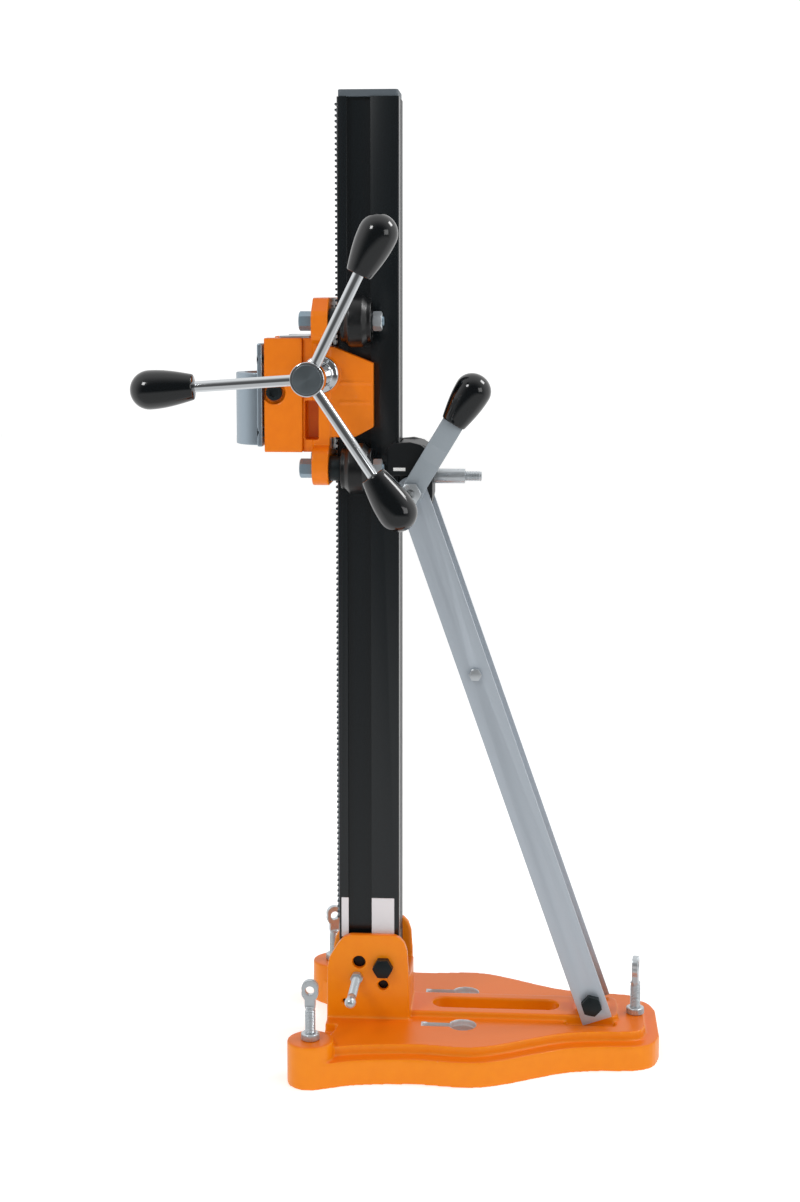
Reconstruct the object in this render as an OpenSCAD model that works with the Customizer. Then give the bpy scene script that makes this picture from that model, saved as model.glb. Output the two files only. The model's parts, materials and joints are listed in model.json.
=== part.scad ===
// Core drill rig: a tilting column on a cast base, with a rear strut, a geared
// carriage on guide rollers, and a three-arm feed handle.
// Millimetres. Z is up, the floor is Z = 0, and the column stands on X = Y = 0.
// The rack and the motor clamp face -X, and the strut stands behind, at +X.

/* [Column] */
// Height of the column's top above the floor
column_top = 1100; // [1000:1:1250]
// Depth of the column profile, front to back
column_d = 70; // [68:1:74]
// Width of the column profile, side to side
column_w = 60; // [58:1:60]
// Width of the groove that the guide rollers run in
groove_w = 27; // [25:0.5:29]
// Depth of that groove
groove_depth = 7; // [6.5:0.5:8]

/* [Base] */
// Height of the skirt round the edge of the base
skirt_h = 29; // [24:1:32]
// Height of the deck
deck_h = 40; // [37:1:42]
// Height of the rib that carries the long anchor slot
rib_h = 47; // [45:1:48]
// Height of the two front levelling lobes
lobe_h = 49; // [46:1:52]
// Radius of each front lobe
lobe_r = 26; // [23:1:27]
// How far the deck is set in from the skirt
ledge = 16; // [12:1:18]
// Width of the long anchor slot
anchor_w = 30; // [20:1:32]

/* [Tilt joint] */
// Tilt bolt, distance behind the column's middle
pivot_x = 17; // [14:1:20]
// Tilt bolt, height
pivot_z = 103; // [100:1:106]
// Thickness of each cheek beside the column's foot
cheek_t = 9; // [7:0.5:11]

/* [Strut] */
// Upper strut bolt, distance behind the column's middle
strut_top_x = 49.5; // [48:0.5:53]
// Upper strut bolt, height
strut_top_z = 658; // [640:1:680]
// Lower strut bolt, distance behind the column's middle
strut_foot_x = 258.5; // [252:0.5:264]
// Lower strut bolt, height
strut_foot_z = 63.5; // [60:0.5:66]
// Width of each strut bar
bar_w = 35; // [30:1:38]
// Thickness of each strut bar
bar_t = 6; // [4:0.5:6.5]

/* [Carriage] */
// Height of the feed shaft at rest
shaft_z = 792; // [700:1:850]
// Teeth on the feed pinion
pinion_teeth = 12; // [12:1:12]
// Gear module of pinion and rack
gear_m = 2; // [2:0.1:2]
// Bore of the motor clamp
clamp_bore = 60; // [53:1:62]
// Distance from the feed shaft to the upper roller axles
roller_up = 59; // [56:1:64]
// Distance from the feed shaft to the lower roller axles
roller_down = 106; // [102:1:110]

/* [Feed handle] */
// Radius from the shaft to the tip of a grip
handle_reach = 190; // [150:1:200]
// Length of a grip
grip_len = 68; // [50:1:80]
// Diameter of an arm
arm_d = 12; // [10:1:14]
// Angle of the first arm above level
arm_angle = 64; // [0:1:119]

/* [Hidden] */
$fn = 64;
eps = 0.01;

half_d = column_d / 2;
half_w = column_w / 2;
groove_x = -10.5;                    // middle of the roller groove
column_foot_z = 132;                 // bottom of the profile, on its foot block
cheek_y = half_w + 1;                // inner face of a cheek
cheek_out = cheek_y + cheek_t;

// base outline, one side, from the front round to the rear
lobe_at = [-58, 124];
rear_screw_x = 311;
side_pts = [[-50, 60], [-57, 88], [-72, 103], [-84, 120], [-77, 142], [-58, 150], [-38, 144], [-12, 134],
            [25, 128], [66, 126], [105, 130], [135, 128], [165, 116], [200, 97], [232, 82],
            [268, 75], [306, 72], [328, 60], [337, 36]];
slot_x = [73, 222];                  // ends of the long anchor slot
key_at = [110, 50];                  // round end of a keyhole slot
key_r = 15;
key_slot_w = 11;
key_slot_x = 64;

// roller
roller_y = half_w + 23.3;
roller_x = [-27.5, 6.5];
roller_r = 29;
roller_land_r = 23;
axle_r = 6;
bush_r = 10;

// carriage
plate_x = [-60, -41.5];
plate_y = 73;
plate_z = [shaft_z - 125, shaft_z + 85];
house_x = -72;                       // front of the gear housing
block_x = -115;                      // front of the motor block
block_y = 56;
block_z = [shaft_z - 88, shaft_z + 40];
clamp_x = block_x - 1;               // clamp axis, in the middle of the 2 mm gap
clamp_r = clamp_bore / 2;
cap_x = [-123, -117];
cap_r = 39;
cap_z = [shaft_z - 82, shaft_z];
cap_bolt_y = 47.5;
cap_bolt_z = [shaft_z - 66, shaft_z + 16];
block_screw_y = 22;
block_screw_z = [shaft_z - 78, shaft_z + 30];
lock_at = [-104, shaft_z - 21];

// gear
pitch_r = gear_m * pinion_teeth / 2;
pressure = 20;
pitch_x = -38;                       // rack pitch line
shaft_x = pitch_x - pitch_r;
rack_add = 0.7 * gear_m;
rack_ded = 1.2 * gear_m;
rack_back = -29;
rack_teeth = 151;
rack_w = 19.6;
backlash = 0.25;
shaft_r = 10;
bearing_r = 14;
bearing_y = [34, 54];

// handle
arm_plane = -178;
hub_y = [-191, -165, -76, -57];
hub_r = [18.4, 13.5, 21];

// strut
bar_y = [31, 37];
strut_lean = atan2(strut_foot_x - strut_top_x, strut_top_z - strut_foot_z);
strut_len = norm([strut_foot_x - strut_top_x, strut_top_z - strut_foot_z]);
strut_bolt_r = 7;
strut_foot = [strut_foot_x, strut_foot_z];
spacer_at = 221;                     // spacer bolt, distance down the strut
lug_play = [8.4, 1.9];               // free travel of the foot bolt in its lug
lug_r = strut_bolt_r + 1.6;
lug_w = 12;                          // half the width of the lug
lug_pts = [[245, 46], [279, 46], [273, 62], [269, 74], [264, 80], [244, 80], [238, 73], [235.5, 64]];
bay_y = [30, 41];                    // shallow bays where the ends of the bars swing
bay_z = 34.5;
rib_y = 30;
slider_z = [632, 713];
stud_z = 673;
lever_lean = 31;
knob_r = [93, 155];                  // near and far end of the lever's knob, from its bolt

// levelling screws
screw_r = 6;
eye_z = 54;                          // middle of the eye above its seat

// ---------- helpers ----------

// an outline drawn in X and Z, made solid between two Y values
module slab_y(y0, y1) {
    translate([0, y1, 0]) rotate([90, 0, 0]) linear_extrude(y1 - y0) children();
}

// an outline drawn in Y and Z, made solid between two X values
module slab_x(x0, x1) {
    translate([x0, 0, 0]) rotate([90, 0, 90]) linear_extrude(x1 - x0) children();
}

module rod_x(r, x0, x1) { translate([x0, 0, 0]) rotate([0, 90, 0]) cylinder(r = r, h = x1 - x0); }
module rod_y(r, y0, y1) { translate([0, y0, 0]) rotate([-90, 0, 0]) cylinder(r = r, h = y1 - y0); }

// hexagons with across-flats size af
module hex_x(af, x0, x1) {
    translate([x0, 0, 0]) rotate([0, 90, 0]) cylinder(r = af / sqrt(3), h = x1 - x0, $fn = 6);
}
module hex_y(af, y0, y1) {
    translate([0, y0, 0]) rotate([-90, 0, 0]) rotate(30) cylinder(r = af / sqrt(3), h = y1 - y0, $fn = 6);
}

// a box from one corner to the other
module block(a, b) { translate(a) cube(b - a); }

// children as drawn, and again mirrored to the other side
module both_sides() { children(); mirror([0, 1, 0]) children(); }
module both_sides_flat() { children(); mirror([1, 0]) children(); }

// rectangle from one corner to the other, with round corners
module round_rect(a, b, r) {
    translate(a + [r, 0]) square([b.x - a.x - 2 * r, b.y - a.y]);
    translate(a + [0, r]) square([b.x - a.x, b.y - a.y - 2 * r]);
    for (x = [a.x + r, b.x - r], y = [a.y + r, b.y - r]) translate([x, y]) circle(r);
}

// smooth curve through a list of points
function curve_at(p, i, t) = let (n = len(p) - 1, a = p[max(i - 1, 0)], b = p[i], c = p[min(i + 1, n)],
    d = p[min(i + 2, n)]) 0.5 * (2 * b + (c - a) * t + (2 * a - 5 * b + 4 * c - d) * t * t
    + (3 * b - a - 3 * c + d) * t * t * t);
function smooth(p, k) = [for (i = [0 : len(p) - 2], j = [0 : k - 1]) curve_at(p, i, j / k), p[len(p) - 1]];
function mirrored(p) = concat(p, [for (i = [len(p) - 1 : -1 : 0]) [p[i].x, -p[i].y]]);

// closed outline moved inwards by d
function inset(p, d) = let (n = len(p)) [for (i = [0 : n - 1])
    let (t = p[(i + 1) % n] - p[(i + n - 1) % n], u = t / norm(t)) p[i] + d * [u.y, -u.x]];

// ---------- base ----------

base_outline = mirrored(smooth(side_pts, 4));

cheek_pts = [[-49, deck_h - 1], [48, deck_h - 1], [46.5, 100], [45, 122], [42, 131], [37, 137], [30, 140.5],
             [-21, 140.5], [-29, 137], [-36, 129], [-46, 112], [-48.5, 100]];

module screw_places() {
    for (s = [-1, 1]) translate([lobe_at.x, s * lobe_at.y, 0]) children();
    translate([rear_screw_x, 0, 0]) children();
}

module keyhole_cut() {
    translate([key_at.x, key_at.y, -1]) cylinder(r = key_r, h = rib_h + 2);
    block([key_slot_x + key_slot_w / 2, key_at.y - key_slot_w / 2, -1],
          [key_at.x, key_at.y + key_slot_w / 2, rib_h + 2]);
    translate([key_slot_x + key_slot_w / 2, key_at.y, -1]) cylinder(d = key_slot_w, h = rib_h + 2);
}

module anchor_slot(w, z0, z1) {
    block([slot_x[0] + w / 2, -w / 2, z0], [slot_x[1] - w / 2, w / 2, z1]);
    for (x = [slot_x[0] + w / 2, slot_x[1] - w / 2]) translate([x, 0, z0]) cylinder(d = w, h = z1 - z0);
}

// hollow between the walls and ribs under the deck
module underside_pockets() {
    for (x = [[58, 148], [156, 228], [236, 288]])
        block([x[0], 26, -1], [x[1], x[0] < 150 ? 96 : x[0] < 230 ? 66 : 52, deck_h - 8]);
    block([-30, 66, -1], [50, 96, deck_h - 8]);
    block([-40, 100, -1], [50, 118, skirt_h - 7]);
    block([58, 100, -1], [148, 114, skirt_h - 7]);
}

module base_plate() {
    color("darkorange") difference() {
        union() {
            linear_extrude(skirt_h) polygon(base_outline);
            linear_extrude(deck_h) polygon(inset(base_outline, ledge));
            for (s = [-1, 1]) translate([lobe_at.x, s * lobe_at.y, 0]) cylinder(r = lobe_r, h = lobe_h);
            block([-49, -58, 0], [56, 58, deck_h]);
            linear_extrude(rib_h) round_rect([-30, -rib_y], [290, rib_y], 10);
            both_sides() slab_y(cheek_y, cheek_out) polygon(cheek_pts);
            block([half_d + 0.6, -cheek_y, deck_h], [48, cheek_y, 90]);
            slab_y(-lug_w, lug_w) polygon(lug_pts);
        }
        translate([-220, 0, -1]) cylinder(r = 171, h = 60, $fn = 160);
        anchor_slot(anchor_w, -1, rib_h + 1);
        both_sides() { keyhole_cut(); underside_pockets(); }
        screw_places() {
            translate([0, 0, -1]) cylinder(r = screw_r + 0.3, h = 60);
            translate([0, 0, -1]) cylinder(r = 9, h = 16);
        }
        block([-52, -cheek_y, rib_h], [half_d + 0.6, cheek_y, 150]);
        translate([pivot_x, 0, pivot_z]) rod_y(8, -60, 60);
        translate([-11, 0, 107.5]) rod_y(7.5, -60, 60);
        translate([17, 0, 80.5]) rod_y(6, -60, 60);
        translate([-28, 0, 60]) rod_y(2.75, -60, 60);
        translate([-13.5, 0, 89.5]) rod_y(5.05, -60, 0);
        slab_y(-40, 40) round_rect(strut_foot - [lug_play.x + lug_r, lug_r],
                                   strut_foot + [lug_r + 0.3, lug_play.y + lug_r], lug_r);
        both_sides() translate([0, 0, bay_z]) linear_extrude(20) round_rect([228, bay_y[0]], [286, bay_y[1]], 4);
    }
}

module level_locknuts() {
    color("silver") for (p = [[lobe_at.x, lobe_at.y, lobe_h], [lobe_at.x, -lobe_at.y, lobe_h],
                              [rear_screw_x, 0, deck_h]])
        translate(p) difference() {
            cylinder(r = 10.5, h = 8);
            translate([0, 0, -1]) cylinder(r = screw_r + 0.05, h = 10);
        }
}

// swivelling tip under a levelling screw
module level_foot(at) {
    color("dimgray") translate([at.x, at.y, 0]) {
        translate([0, 0, 1]) cylinder(r = 7, h = 4.6);
        translate([0, 0, 5]) cylinder(r = 2.5, h = 9);
    }
}
module level_foot_left() { level_foot([lobe_at.x, -lobe_at.y]); }
module level_foot_right() { level_foot([lobe_at.x, lobe_at.y]); }
module level_foot_rear() { level_foot([rear_screw_x, 0]); }

// levelling screw with a flat eye for a tommy bar; turn is the eye's direction
module level_screw(at, seat, turn) {
    color("lightgray") translate([at.x, at.y, 0]) difference() {
        union() {
            translate([0, 0, 6]) cylinder(r = screw_r, h = seat + eye_z - 22);
            rotate(turn) translate([0, 0, seat + eye_z]) {
                slab_y(-3.5, 3.5) { circle(9.5); translate([0, -6]) square([12, 20], center = true); }
                translate([0, 0, 5.5]) slab_y(-3.5, 3.5) circle(9.5);
            }
        }
        rotate(turn) translate([0, 0, seat + eye_z + 3]) rod_y(5, -5, 5);
        translate([0, 0, 5]) cylinder(r = 2.55, h = 10);
    }
}
module level_screw_left() { level_screw([lobe_at.x, -lobe_at.y], lobe_h, 0); }
module level_screw_right() { level_screw([lobe_at.x, lobe_at.y], lobe_h, 20); }
module level_screw_rear() { level_screw([rear_screw_x, 0], deck_h, 80); }

// ---------- tilt joint ----------

module tilt_bolt() {
    color("#20262a") translate([pivot_x, 0, pivot_z]) {
        rod_y(8, -cheek_out, cheek_out + 20);
        rotate([0, 30, 0]) hex_y(20.5, -cheek_out - 10, -cheek_out);
    }
}

module tilt_nut() {
    color("#20262a") translate([pivot_x, 0, pivot_z]) difference() {
        hex_y(24, cheek_out, cheek_out + 13);
        rod_y(8, cheek_out - 1, cheek_out + 14);
    }
}

module tilt_clamp_screw() {
    color("silver") translate([-13.5, 0, 89.5]) {
        rod_y(5, -114, -half_w - 0.4);
        hex_y(13, -cheek_out - 8, -cheek_out - 0.4);
        translate([0, -116, 0]) sphere(r = 6.5);
    }
}

// ---------- column ----------

module column_section() {
    difference() {
        round_rect([-half_d, -half_w], [half_d, half_w], 1.5);
        for (s = [-1, 1]) translate([groove_x - groove_w / 2, s > 0 ? half_w - groove_depth : -half_w - 1])
            square([groove_w, groove_depth + 1]);
        translate([half_d - 7, -6.5]) square([8, 13]);                // T slot, mouth
        translate([half_d - 15, -12]) square([8 + eps, 24]);          // T slot, inside
        translate([-half_d - 1, -rack_w / 2]) square([half_d + 1 + rack_back, rack_w]);
        translate([-24, -19]) square([39, 38]);
        for (s = [-1, 1]) translate([20, s > 0 ? 16 : -26]) square([11, 10]);
    }
}

module column_profile() {
    color("#15191d") difference() {
        translate([0, 0, column_foot_z]) linear_extrude(column_top - column_foot_z) column_section();
        both_sides() block([-half_d + 3, half_w - 0.4, 135], [half_d - 6, half_w + 1, 181]);
    }
}

module column_foot() {
    color("#1b1f23") difference() {
        union() {
            block([-half_d, -half_w, 56], [half_d, half_w, column_foot_z]);
            block([-23, -18, column_foot_z], [14, 18, 165]);
        }
        translate([pivot_x, 0, pivot_z]) rod_y(8.05, -40, 40);
    }
}

module column_cap() {
    color("gray") {
        translate([0, 0, column_top]) linear_extrude(8)
            round_rect([-half_d + 1.2, -half_w + 1.2], [half_d - 1.2, half_w - 1.2], 4);
        block([-23.5, -18.5, column_top - 18], [14.5, 18.5, column_top]);
    }
}

// rack teeth, drawn in X and Z, with one tooth level with the shaft
rack_pitch = PI * gear_m;
rack_half = rack_pitch / 4 - 0.05;
function rack_tooth(z) = let (a = rack_half - rack_add * tan(pressure), r = rack_half + rack_ded * tan(pressure))
    [[pitch_x + rack_ded, z - r], [pitch_x - rack_add, z - a], [pitch_x - rack_add, z + a], [pitch_x + rack_ded, z + r]];
rack_first = shaft_z - 102 * rack_pitch;
rack_pts = [for (i = [0 : rack_teeth - 1]) each rack_tooth(rack_first + i * rack_pitch)];

module rack() {
    color("silver") slab_y(-rack_w / 2, rack_w / 2) polygon(concat(
        [[rack_back, rack_first - rack_pitch / 2], [pitch_x + rack_ded, rack_first - rack_pitch / 2]], rack_pts,
        [[pitch_x + rack_ded, rack_first + (rack_teeth - 0.5) * rack_pitch],
         [rack_back, rack_first + (rack_teeth - 0.5) * rack_pitch]]));
}

// ---------- strut and its slider ----------

// side outline of the slider, behind the column
slider_pts = [[half_d + 0.4, slider_z[0]], [64, slider_z[0]], [70, slider_z[0] + 6], [73, slider_z[0] + 20],
              [73, slider_z[1] - 17], [70.5, slider_z[1] - 9], [64, slider_z[1] - 2.5], [56, slider_z[1]],
              [half_d + 0.4, slider_z[1]]];
// cheeks that reach forward beside the column, above the strut bars
slider_cheek = [[22, 676.5], [72, 676.5], [73, 696], [69, 705], [60, 712], [48, 715], [28, 713], [22, 706]];

module slider_block() {
    color("#14181b") difference() {
        union() {
            slab_y(-half_w, half_w) polygon(slider_pts);
            both_sides() slab_y(half_w + 0.4, 40) polygon(slider_cheek);
            both_sides() slab_y(half_w - 4, half_w + 1) intersection() {
                polygon(slider_pts);
                translate([half_d + 0.4, 676.5]) square([60, 60]);
            }
            block([half_d - 6, -6, slider_z[0] + 4], [half_d + 1, 6, slider_z[1] - 3]); // key in the column's slot
        }
        translate([strut_top_x, 0, strut_top_z]) rod_y(strut_bolt_r, -50, 50);
        translate([0, 0, stud_z]) rod_x(axle_r, 0, 90);
        both_sides() block([29, 38.5, 682.5], [43, 41, 685.5]);       // pointer groove
    }
}

module slider_stud() {
    color("silver") translate([0, 0, stud_z]) {
        rod_x(axle_r, half_d - 8, 128);
        block([half_d - 14.5, -11.5, -11.5], [half_d - 8, 11.5, 11.5]);
    }
}

module slider_sleeve() {
    color("lightgray") translate([0, 0, stud_z]) difference() {
        rod_x(8.5, 73, 109);
        rod_x(axle_r, 72, 110);
    }
}

module at_strut_top() { translate([strut_top_x, 0, strut_top_z]) children(); }

module strut_pivot_bolt() {
    color("#2a2f33") at_strut_top() {
        rod_y(strut_bolt_r, -58, 47);
        hex_y(22, 38, 46);
    }
}

// nut outside the lever, and the spacer between lever and strut
module strut_pivot_nuts() {
    color("silver") at_strut_top() difference() {
        union() { hex_y(22, -58, -50.4); rod_y(12, -41.6, -37.4); }
        rod_y(strut_bolt_r, -60, -30);
    }
}

// a strut bar hangs from its upper bolt and leans back
module strut_bar(y0, y1) {
    color("lightsteelblue") at_strut_top() rotate([0, -strut_lean, 0]) difference() {
        union() {
            rod_y(bar_w / 2, y0, y1);
            block([-bar_w / 2, y0, -strut_len - 21], [bar_w / 2, y1, 0]);
        }
        rod_y(strut_bolt_r + 0.05, y0 - 1, y1 + 1);
        translate([0, 0, -strut_len]) rod_y(strut_bolt_r, y0 - 1, y1 + 1);
        translate([0, 0, -spacer_at]) rod_y(5, y0 - 1, y1 + 1);
    }
}
module strut_bar_left() { strut_bar(-bar_y[1], -bar_y[0]); }
module strut_bar_right() { strut_bar(bar_y[0], bar_y[1]); }

module strut_spacer() {
    color("silver") at_strut_top() rotate([0, -strut_lean, 0]) translate([0, 0, -spacer_at]) {
        rod_y(5, -bar_y[1] - 5.5, bar_y[1] + 5.5);
        both_sides() hex_y(13, bar_y[1], bar_y[1] + 5.5);
        rod_y(8, -bar_y[0], bar_y[0]);
    }
}

module strut_foot_bolt() {
    color("#20262a") translate([strut_foot_x, 0, strut_foot_z]) {
        rod_y(strut_bolt_r, -bar_y[1], bar_y[1] + 14);
        hex_y(21, -bar_y[1] - 9, -bar_y[1]);
        both_sides() rod_y(10.5, lug_w + 0.6, bar_y[0]);
    }
}

module strut_foot_nut() {
    color("#20262a") translate([strut_foot_x, 0, strut_foot_z]) difference() {
        hex_y(21, bar_y[1], bar_y[1] + 11);
        rod_y(strut_bolt_r, bar_y[1] - 1, bar_y[1] + 12);
    }
}

// clamping lever: a flat bar cranked outwards, with a round end on the bolt
module lock_lever() {
    color("slategray") at_strut_top() rotate([0, lever_lean, 0]) difference() {
        union() {
            rod_y(14, -50, -42);
            slab_x(-12.5, 12.5) polygon([[-50, 0], [-42, 0], [-42, 42], [-54, 62], [-54, knob_r[0]],
                                         [-62, knob_r[0]], [-62, 61], [-50, 41]]);
        }
        rod_y(strut_bolt_r + 0.05, -51, -41);
    }
}

module lock_lever_knob() {
    color("#0c0e10") at_strut_top() rotate([0, lever_lean, 0]) translate([0, -58, 0])
        rotate_extrude() polygon(concat([[0, knob_r[0]]], grip_curve(knob_r[0], knob_r[1], 14.5, 20.5), [[0, knob_r[1]]]));
}

// ---------- carriage ----------

module roller_places() {
    for (s = [-1, 1], z = [roller_up, -roller_down]) translate([0, s * roller_y, shaft_z + z]) children();
}

// sloping shoulders over the upper roller lugs
lug_top = [[50, plate_z[1]], [54, plate_z[1] - 1.2], [70.5, plate_z[1] - 15], [plate_y, plate_z[1] - 20],
           [plate_y, plate_z[1] - 40], [70, plate_z[1] - 47], [62, plate_z[1] - 50]];
cast_lines = [shaft_z - 10, shaft_z - 32]; // raised lines on the carriage arms
arm_pts = [[-60, shaft_z - 72], [-13, shaft_z - 71], [7, shaft_z - 60], [7, shaft_z + 12],
           [-36, shaft_z + 30], [-60, shaft_z + 34]];

module carriage_frame() {
    color("darkorange") difference() {
        union() {
            slab_x(plate_x[0], plate_x[1]) {
                round_rect([-52, plate_z[0]], [52, plate_z[1] - 20], 8);
                round_rect([-plate_y, plate_z[0]], [plate_y, plate_z[0] + 44], 19);
                both_sides_flat() polygon(concat([[0, plate_z[1] - 50], [0, plate_z[1]]], lug_top));
            }
            both_sides() for (z = cast_lines) block([-30, bearing_y[1] - 5, z - 0.9], [6, bearing_y[1] - 2.8, z + 0.9]);
            block([house_x, -block_y + 6, block_z[0]], [plate_x[0] + 1, block_y - 6, block_z[1]]);
            both_sides() slab_y(half_w + 2, bearing_y[1] - 4) polygon(arm_pts);
            both_sides() translate([shaft_x, 0, shaft_z]) rod_y(20, bearing_y[0], bearing_y[1]);
        }
        block([-66, -31, shaft_z - 18], [-30, 31, shaft_z + 18]);
        translate([shaft_x, 0, shaft_z]) rod_y(bearing_r, -80, 80);
        roller_places() rod_x(axle_r, -80, 0);
        for (s = [-1, 1], z = block_screw_z) translate([0, s * block_screw_y, z]) {
            rod_x(4, -80, 0);
            rod_x(7, plate_x[1] - 8.5, 0);
        }
        both_sides() block([-70, block_y - 28, shaft_z - 74], [-54, 80, shaft_z - 30]);
    }
}

module motor_block() {
    color("darkorange") difference() {
        block([block_x, -block_y, block_z[0]], [house_x, block_y, block_z[1]]);
        translate([clamp_x, 0, block_z[0] - 1]) cylinder(r = clamp_r, h = 200, $fn = 128);
        for (s = [-1, 1], z = cap_bolt_z) translate([0, s * cap_bolt_y, z]) rod_x(5, block_x - 1, -94);
        for (s = [-1, 1], z = block_screw_z) translate([0, s * block_screw_y, z]) rod_x(4, -90, house_x + 1);
        both_sides() translate([lock_at.x, 0, lock_at.y]) {
            rod_y(13, block_y - 8, block_y + 1);
            rod_y(6, 20, block_y);
        }
    }
}

module block_screws() {
    color("dimgray") for (s = [-1, 1], z = block_screw_z) translate([0, s * block_screw_y, z]) {
        rod_x(4, -90, plate_x[1] - 8.5);
        rod_x(6.5, plate_x[1] - 8.5, plate_x[1] - 0.5);
    }
}

module block_cover() {
    color("gray") difference() {
        block([-98, -50, block_z[1]], [-64, 50, block_z[1] + 2.5]);
        translate([clamp_x, 0, block_z[1] - 1]) cylinder(r = clamp_r + 3, h = 10);
    }
}

module clamp_cap() {
    color("lightgray") difference() {
        union() {
            block([cap_x[0], -block_y, cap_z[0]], [cap_x[1], block_y, shaft_z + 34]);
            intersection() {
                translate([clamp_x, 0, cap_z[0]]) cylinder(r = cap_r, h = cap_z[1] - cap_z[0], $fn = 128);
                block([-170, -60, 0], [cap_x[1], 60, column_top]);
            }
        }
        translate([clamp_x, 0, 0]) cylinder(r = clamp_r, h = column_top, $fn = 128);
        for (s = [-1, 1], z = cap_bolt_z) translate([cap_x[0], s * cap_bolt_y, z]) csk_shape(0.1, 20);
    }
}

// countersunk screw along +X, head flush at X = 0; gap widens it for its hole
module csk_shape(gap, len) {
    rotate([0, 90, 0]) rotate_extrude()
        polygon([[0, -gap], [8.2 + gap, -gap], [8.2 + gap, 0.4], [5 + gap, 3.6], [5 + gap, len], [0, len]]);
}

module clamp_bolts() {
    color("dimgray") for (s = [-1, 1], z = cap_bolt_z) translate([cap_x[0], s * cap_bolt_y, z]) difference() {
        csk_shape(0, 28);
        hex_x(6, -1, 3.4);
    }
}

// screws that bear on the motor's neck from both sides
module neck_screws() {
    color("dimgray") both_sides() translate([lock_at.x, 0, lock_at.y]) {
        difference() { rod_y(9, block_y - 8, block_y - 1); hex_y(10, block_y - 5, block_y); }
        rod_y(6, 29.5, block_y - 8);
    }
}

module roller_axles() {
    color("steelblue") roller_places() {
        rod_x(axle_r, plate_x[0], 20);
        hex_x(19, plate_x[0] - 15, plate_x[0]);
    }
}

module roller_nuts() {
    color("silver") roller_places() difference() { hex_x(19, 7.5, 18); rod_x(axle_r, 7, 19); }
}

module roller_bushes() {
    color("dimgray") roller_places() difference() {
        union() { rod_x(bush_r, plate_x[1], 7.5); rod_x(14, plate_x[1], roller_x[0] - 0.3); }
        rod_x(axle_r, plate_x[1] - 1, 8);
    }
}

// guide roller: its crown runs in the groove, its shoulders on the column's face
module roller(side, z) {
    color("#101214") translate([0, side * roller_y, shaft_z + z]) rotate([0, 90, 0]) rotate_extrude()
        polygon([[bush_r + 0.05, roller_x[0]], [roller_land_r - 2, roller_x[0]], [roller_land_r, roller_x[0] + 2],
                 [roller_land_r, groove_x - 12.5], [roller_r, groove_x - 7.5], [roller_r, groove_x + 7.5],
                 [roller_land_r, groove_x + 12.5], [roller_land_r, roller_x[1] - 2], [roller_land_r - 2, roller_x[1]],
                 [bush_r + 0.05, roller_x[1]]]);
}
module roller_upper_left() { roller(-1, roller_up); }
module roller_upper_right() { roller(1, roller_up); }
module roller_lower_left() { roller(-1, -roller_down); }
module roller_lower_right() { roller(1, -roller_down); }

// ---------- feed shaft and handle ----------

module at_shaft() { translate([shaft_x, 0, shaft_z]) children(); }

module bearing() {
    color("goldenrod") at_shaft() difference() {
        rod_y(bearing_r, -bearing_y[1], -bearing_y[0]);
        rod_y(shaft_r + 0.05, -60, -30);
    }
}
module bearing_left() { bearing(); }
module bearing_right() { mirror([0, 1, 0]) bearing(); }

module shaft_collar() {
    color("dimgray") at_shaft() difference() {
        rod_y(17, bearing_y[1] + 0.4, bearing_y[1] + 10);
        rod_y(shaft_r, bearing_y[1], bearing_y[1] + 11);
    }
}

// involute pinion with a tooth space towards the rack at rest
base_r = pitch_r * cos(pressure);
function inv(a) = tan(a) - a * PI / 180;
function flank(r) = (PI * gear_m / 2 - backlash) / (2 * pitch_r) * 180 / PI
    + (inv(pressure) - inv(acos(min(1, base_r / r)))) * 180 / PI;
tooth_r = [10.2, base_r, 11.8, 12.5, 13.2, pitch_r + gear_m];
function polar(r, a) = [r * cos(a), r * sin(a)];
pinion_pts = [for (i = [0 : pinion_teeth - 1]) let (a = (i + 0.5) * 360 / pinion_teeth) each concat(
    [for (r = tooth_r) polar(r, a - flank(max(r, base_r)))],
    [for (k = [len(tooth_r) - 1 : -1 : 0]) polar(tooth_r[k], a + flank(max(tooth_r[k], base_r)))])];

module pinion_shaft() {
    color("silver") at_shaft() {
        slab_y(-11, 11) polygon(pinion_pts);
        rod_y(shaft_r, -100, bearing_y[1] + 14);
    }
}

module handle_hub() {
    color("silver") at_shaft() difference() {
        union() {
            rod_y(hub_r[0], hub_y[0] + 1.5, hub_y[1]);
            rod_y(hub_r[1], hub_y[1], hub_y[2]);
            rod_y(hub_r[2], hub_y[2], hub_y[3]);
        }
        rod_y(shaft_r, -100, -50);
        rod_y(15.5, hub_y[0] - 1, hub_y[0] + 3);
        for (i = [0 : 2]) arm_turn(i) translate([0, 0, 9]) cylinder(d = arm_d, h = 20);
    }
}

module hub_disc() {
    color("#30363a") at_shaft() rod_y(15.5, hub_y[0], hub_y[0] + 3);
}

// turns +Z to the direction of arm i, in the plane of the arms
module arm_turn(i) { translate([0, arm_plane, 0]) rotate([0, 90 - arm_angle - 120 * i, 0]) children(); }

module arm(i) {
    color("silver") at_shaft() arm_turn(i) translate([0, 0, 9]) cylinder(d = arm_d, h = handle_reach - grip_len + 12);
}
module arm_a() { arm(0); }
module arm_b() { arm(1); }
module arm_c() { arm(2); }

// outline of a grip from its thin end z0 to its round end z1
function grip_curve(z0, z1, r0, r1) = concat([[r0 - 1.5, z0], [r0, z0 + 2]],
    [for (k = [1 : 5]) [r0 + (r1 - r0) * sin(18 * k), z0 + 2 + (z1 - z0 - 20) * k / 5]],
    [for (a = [15 : 15 : 75]) [r1 - 9 * (1 - cos(a)) - 3 * a / 75, z1 - 18 + 18 * sin(a)]]);

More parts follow.
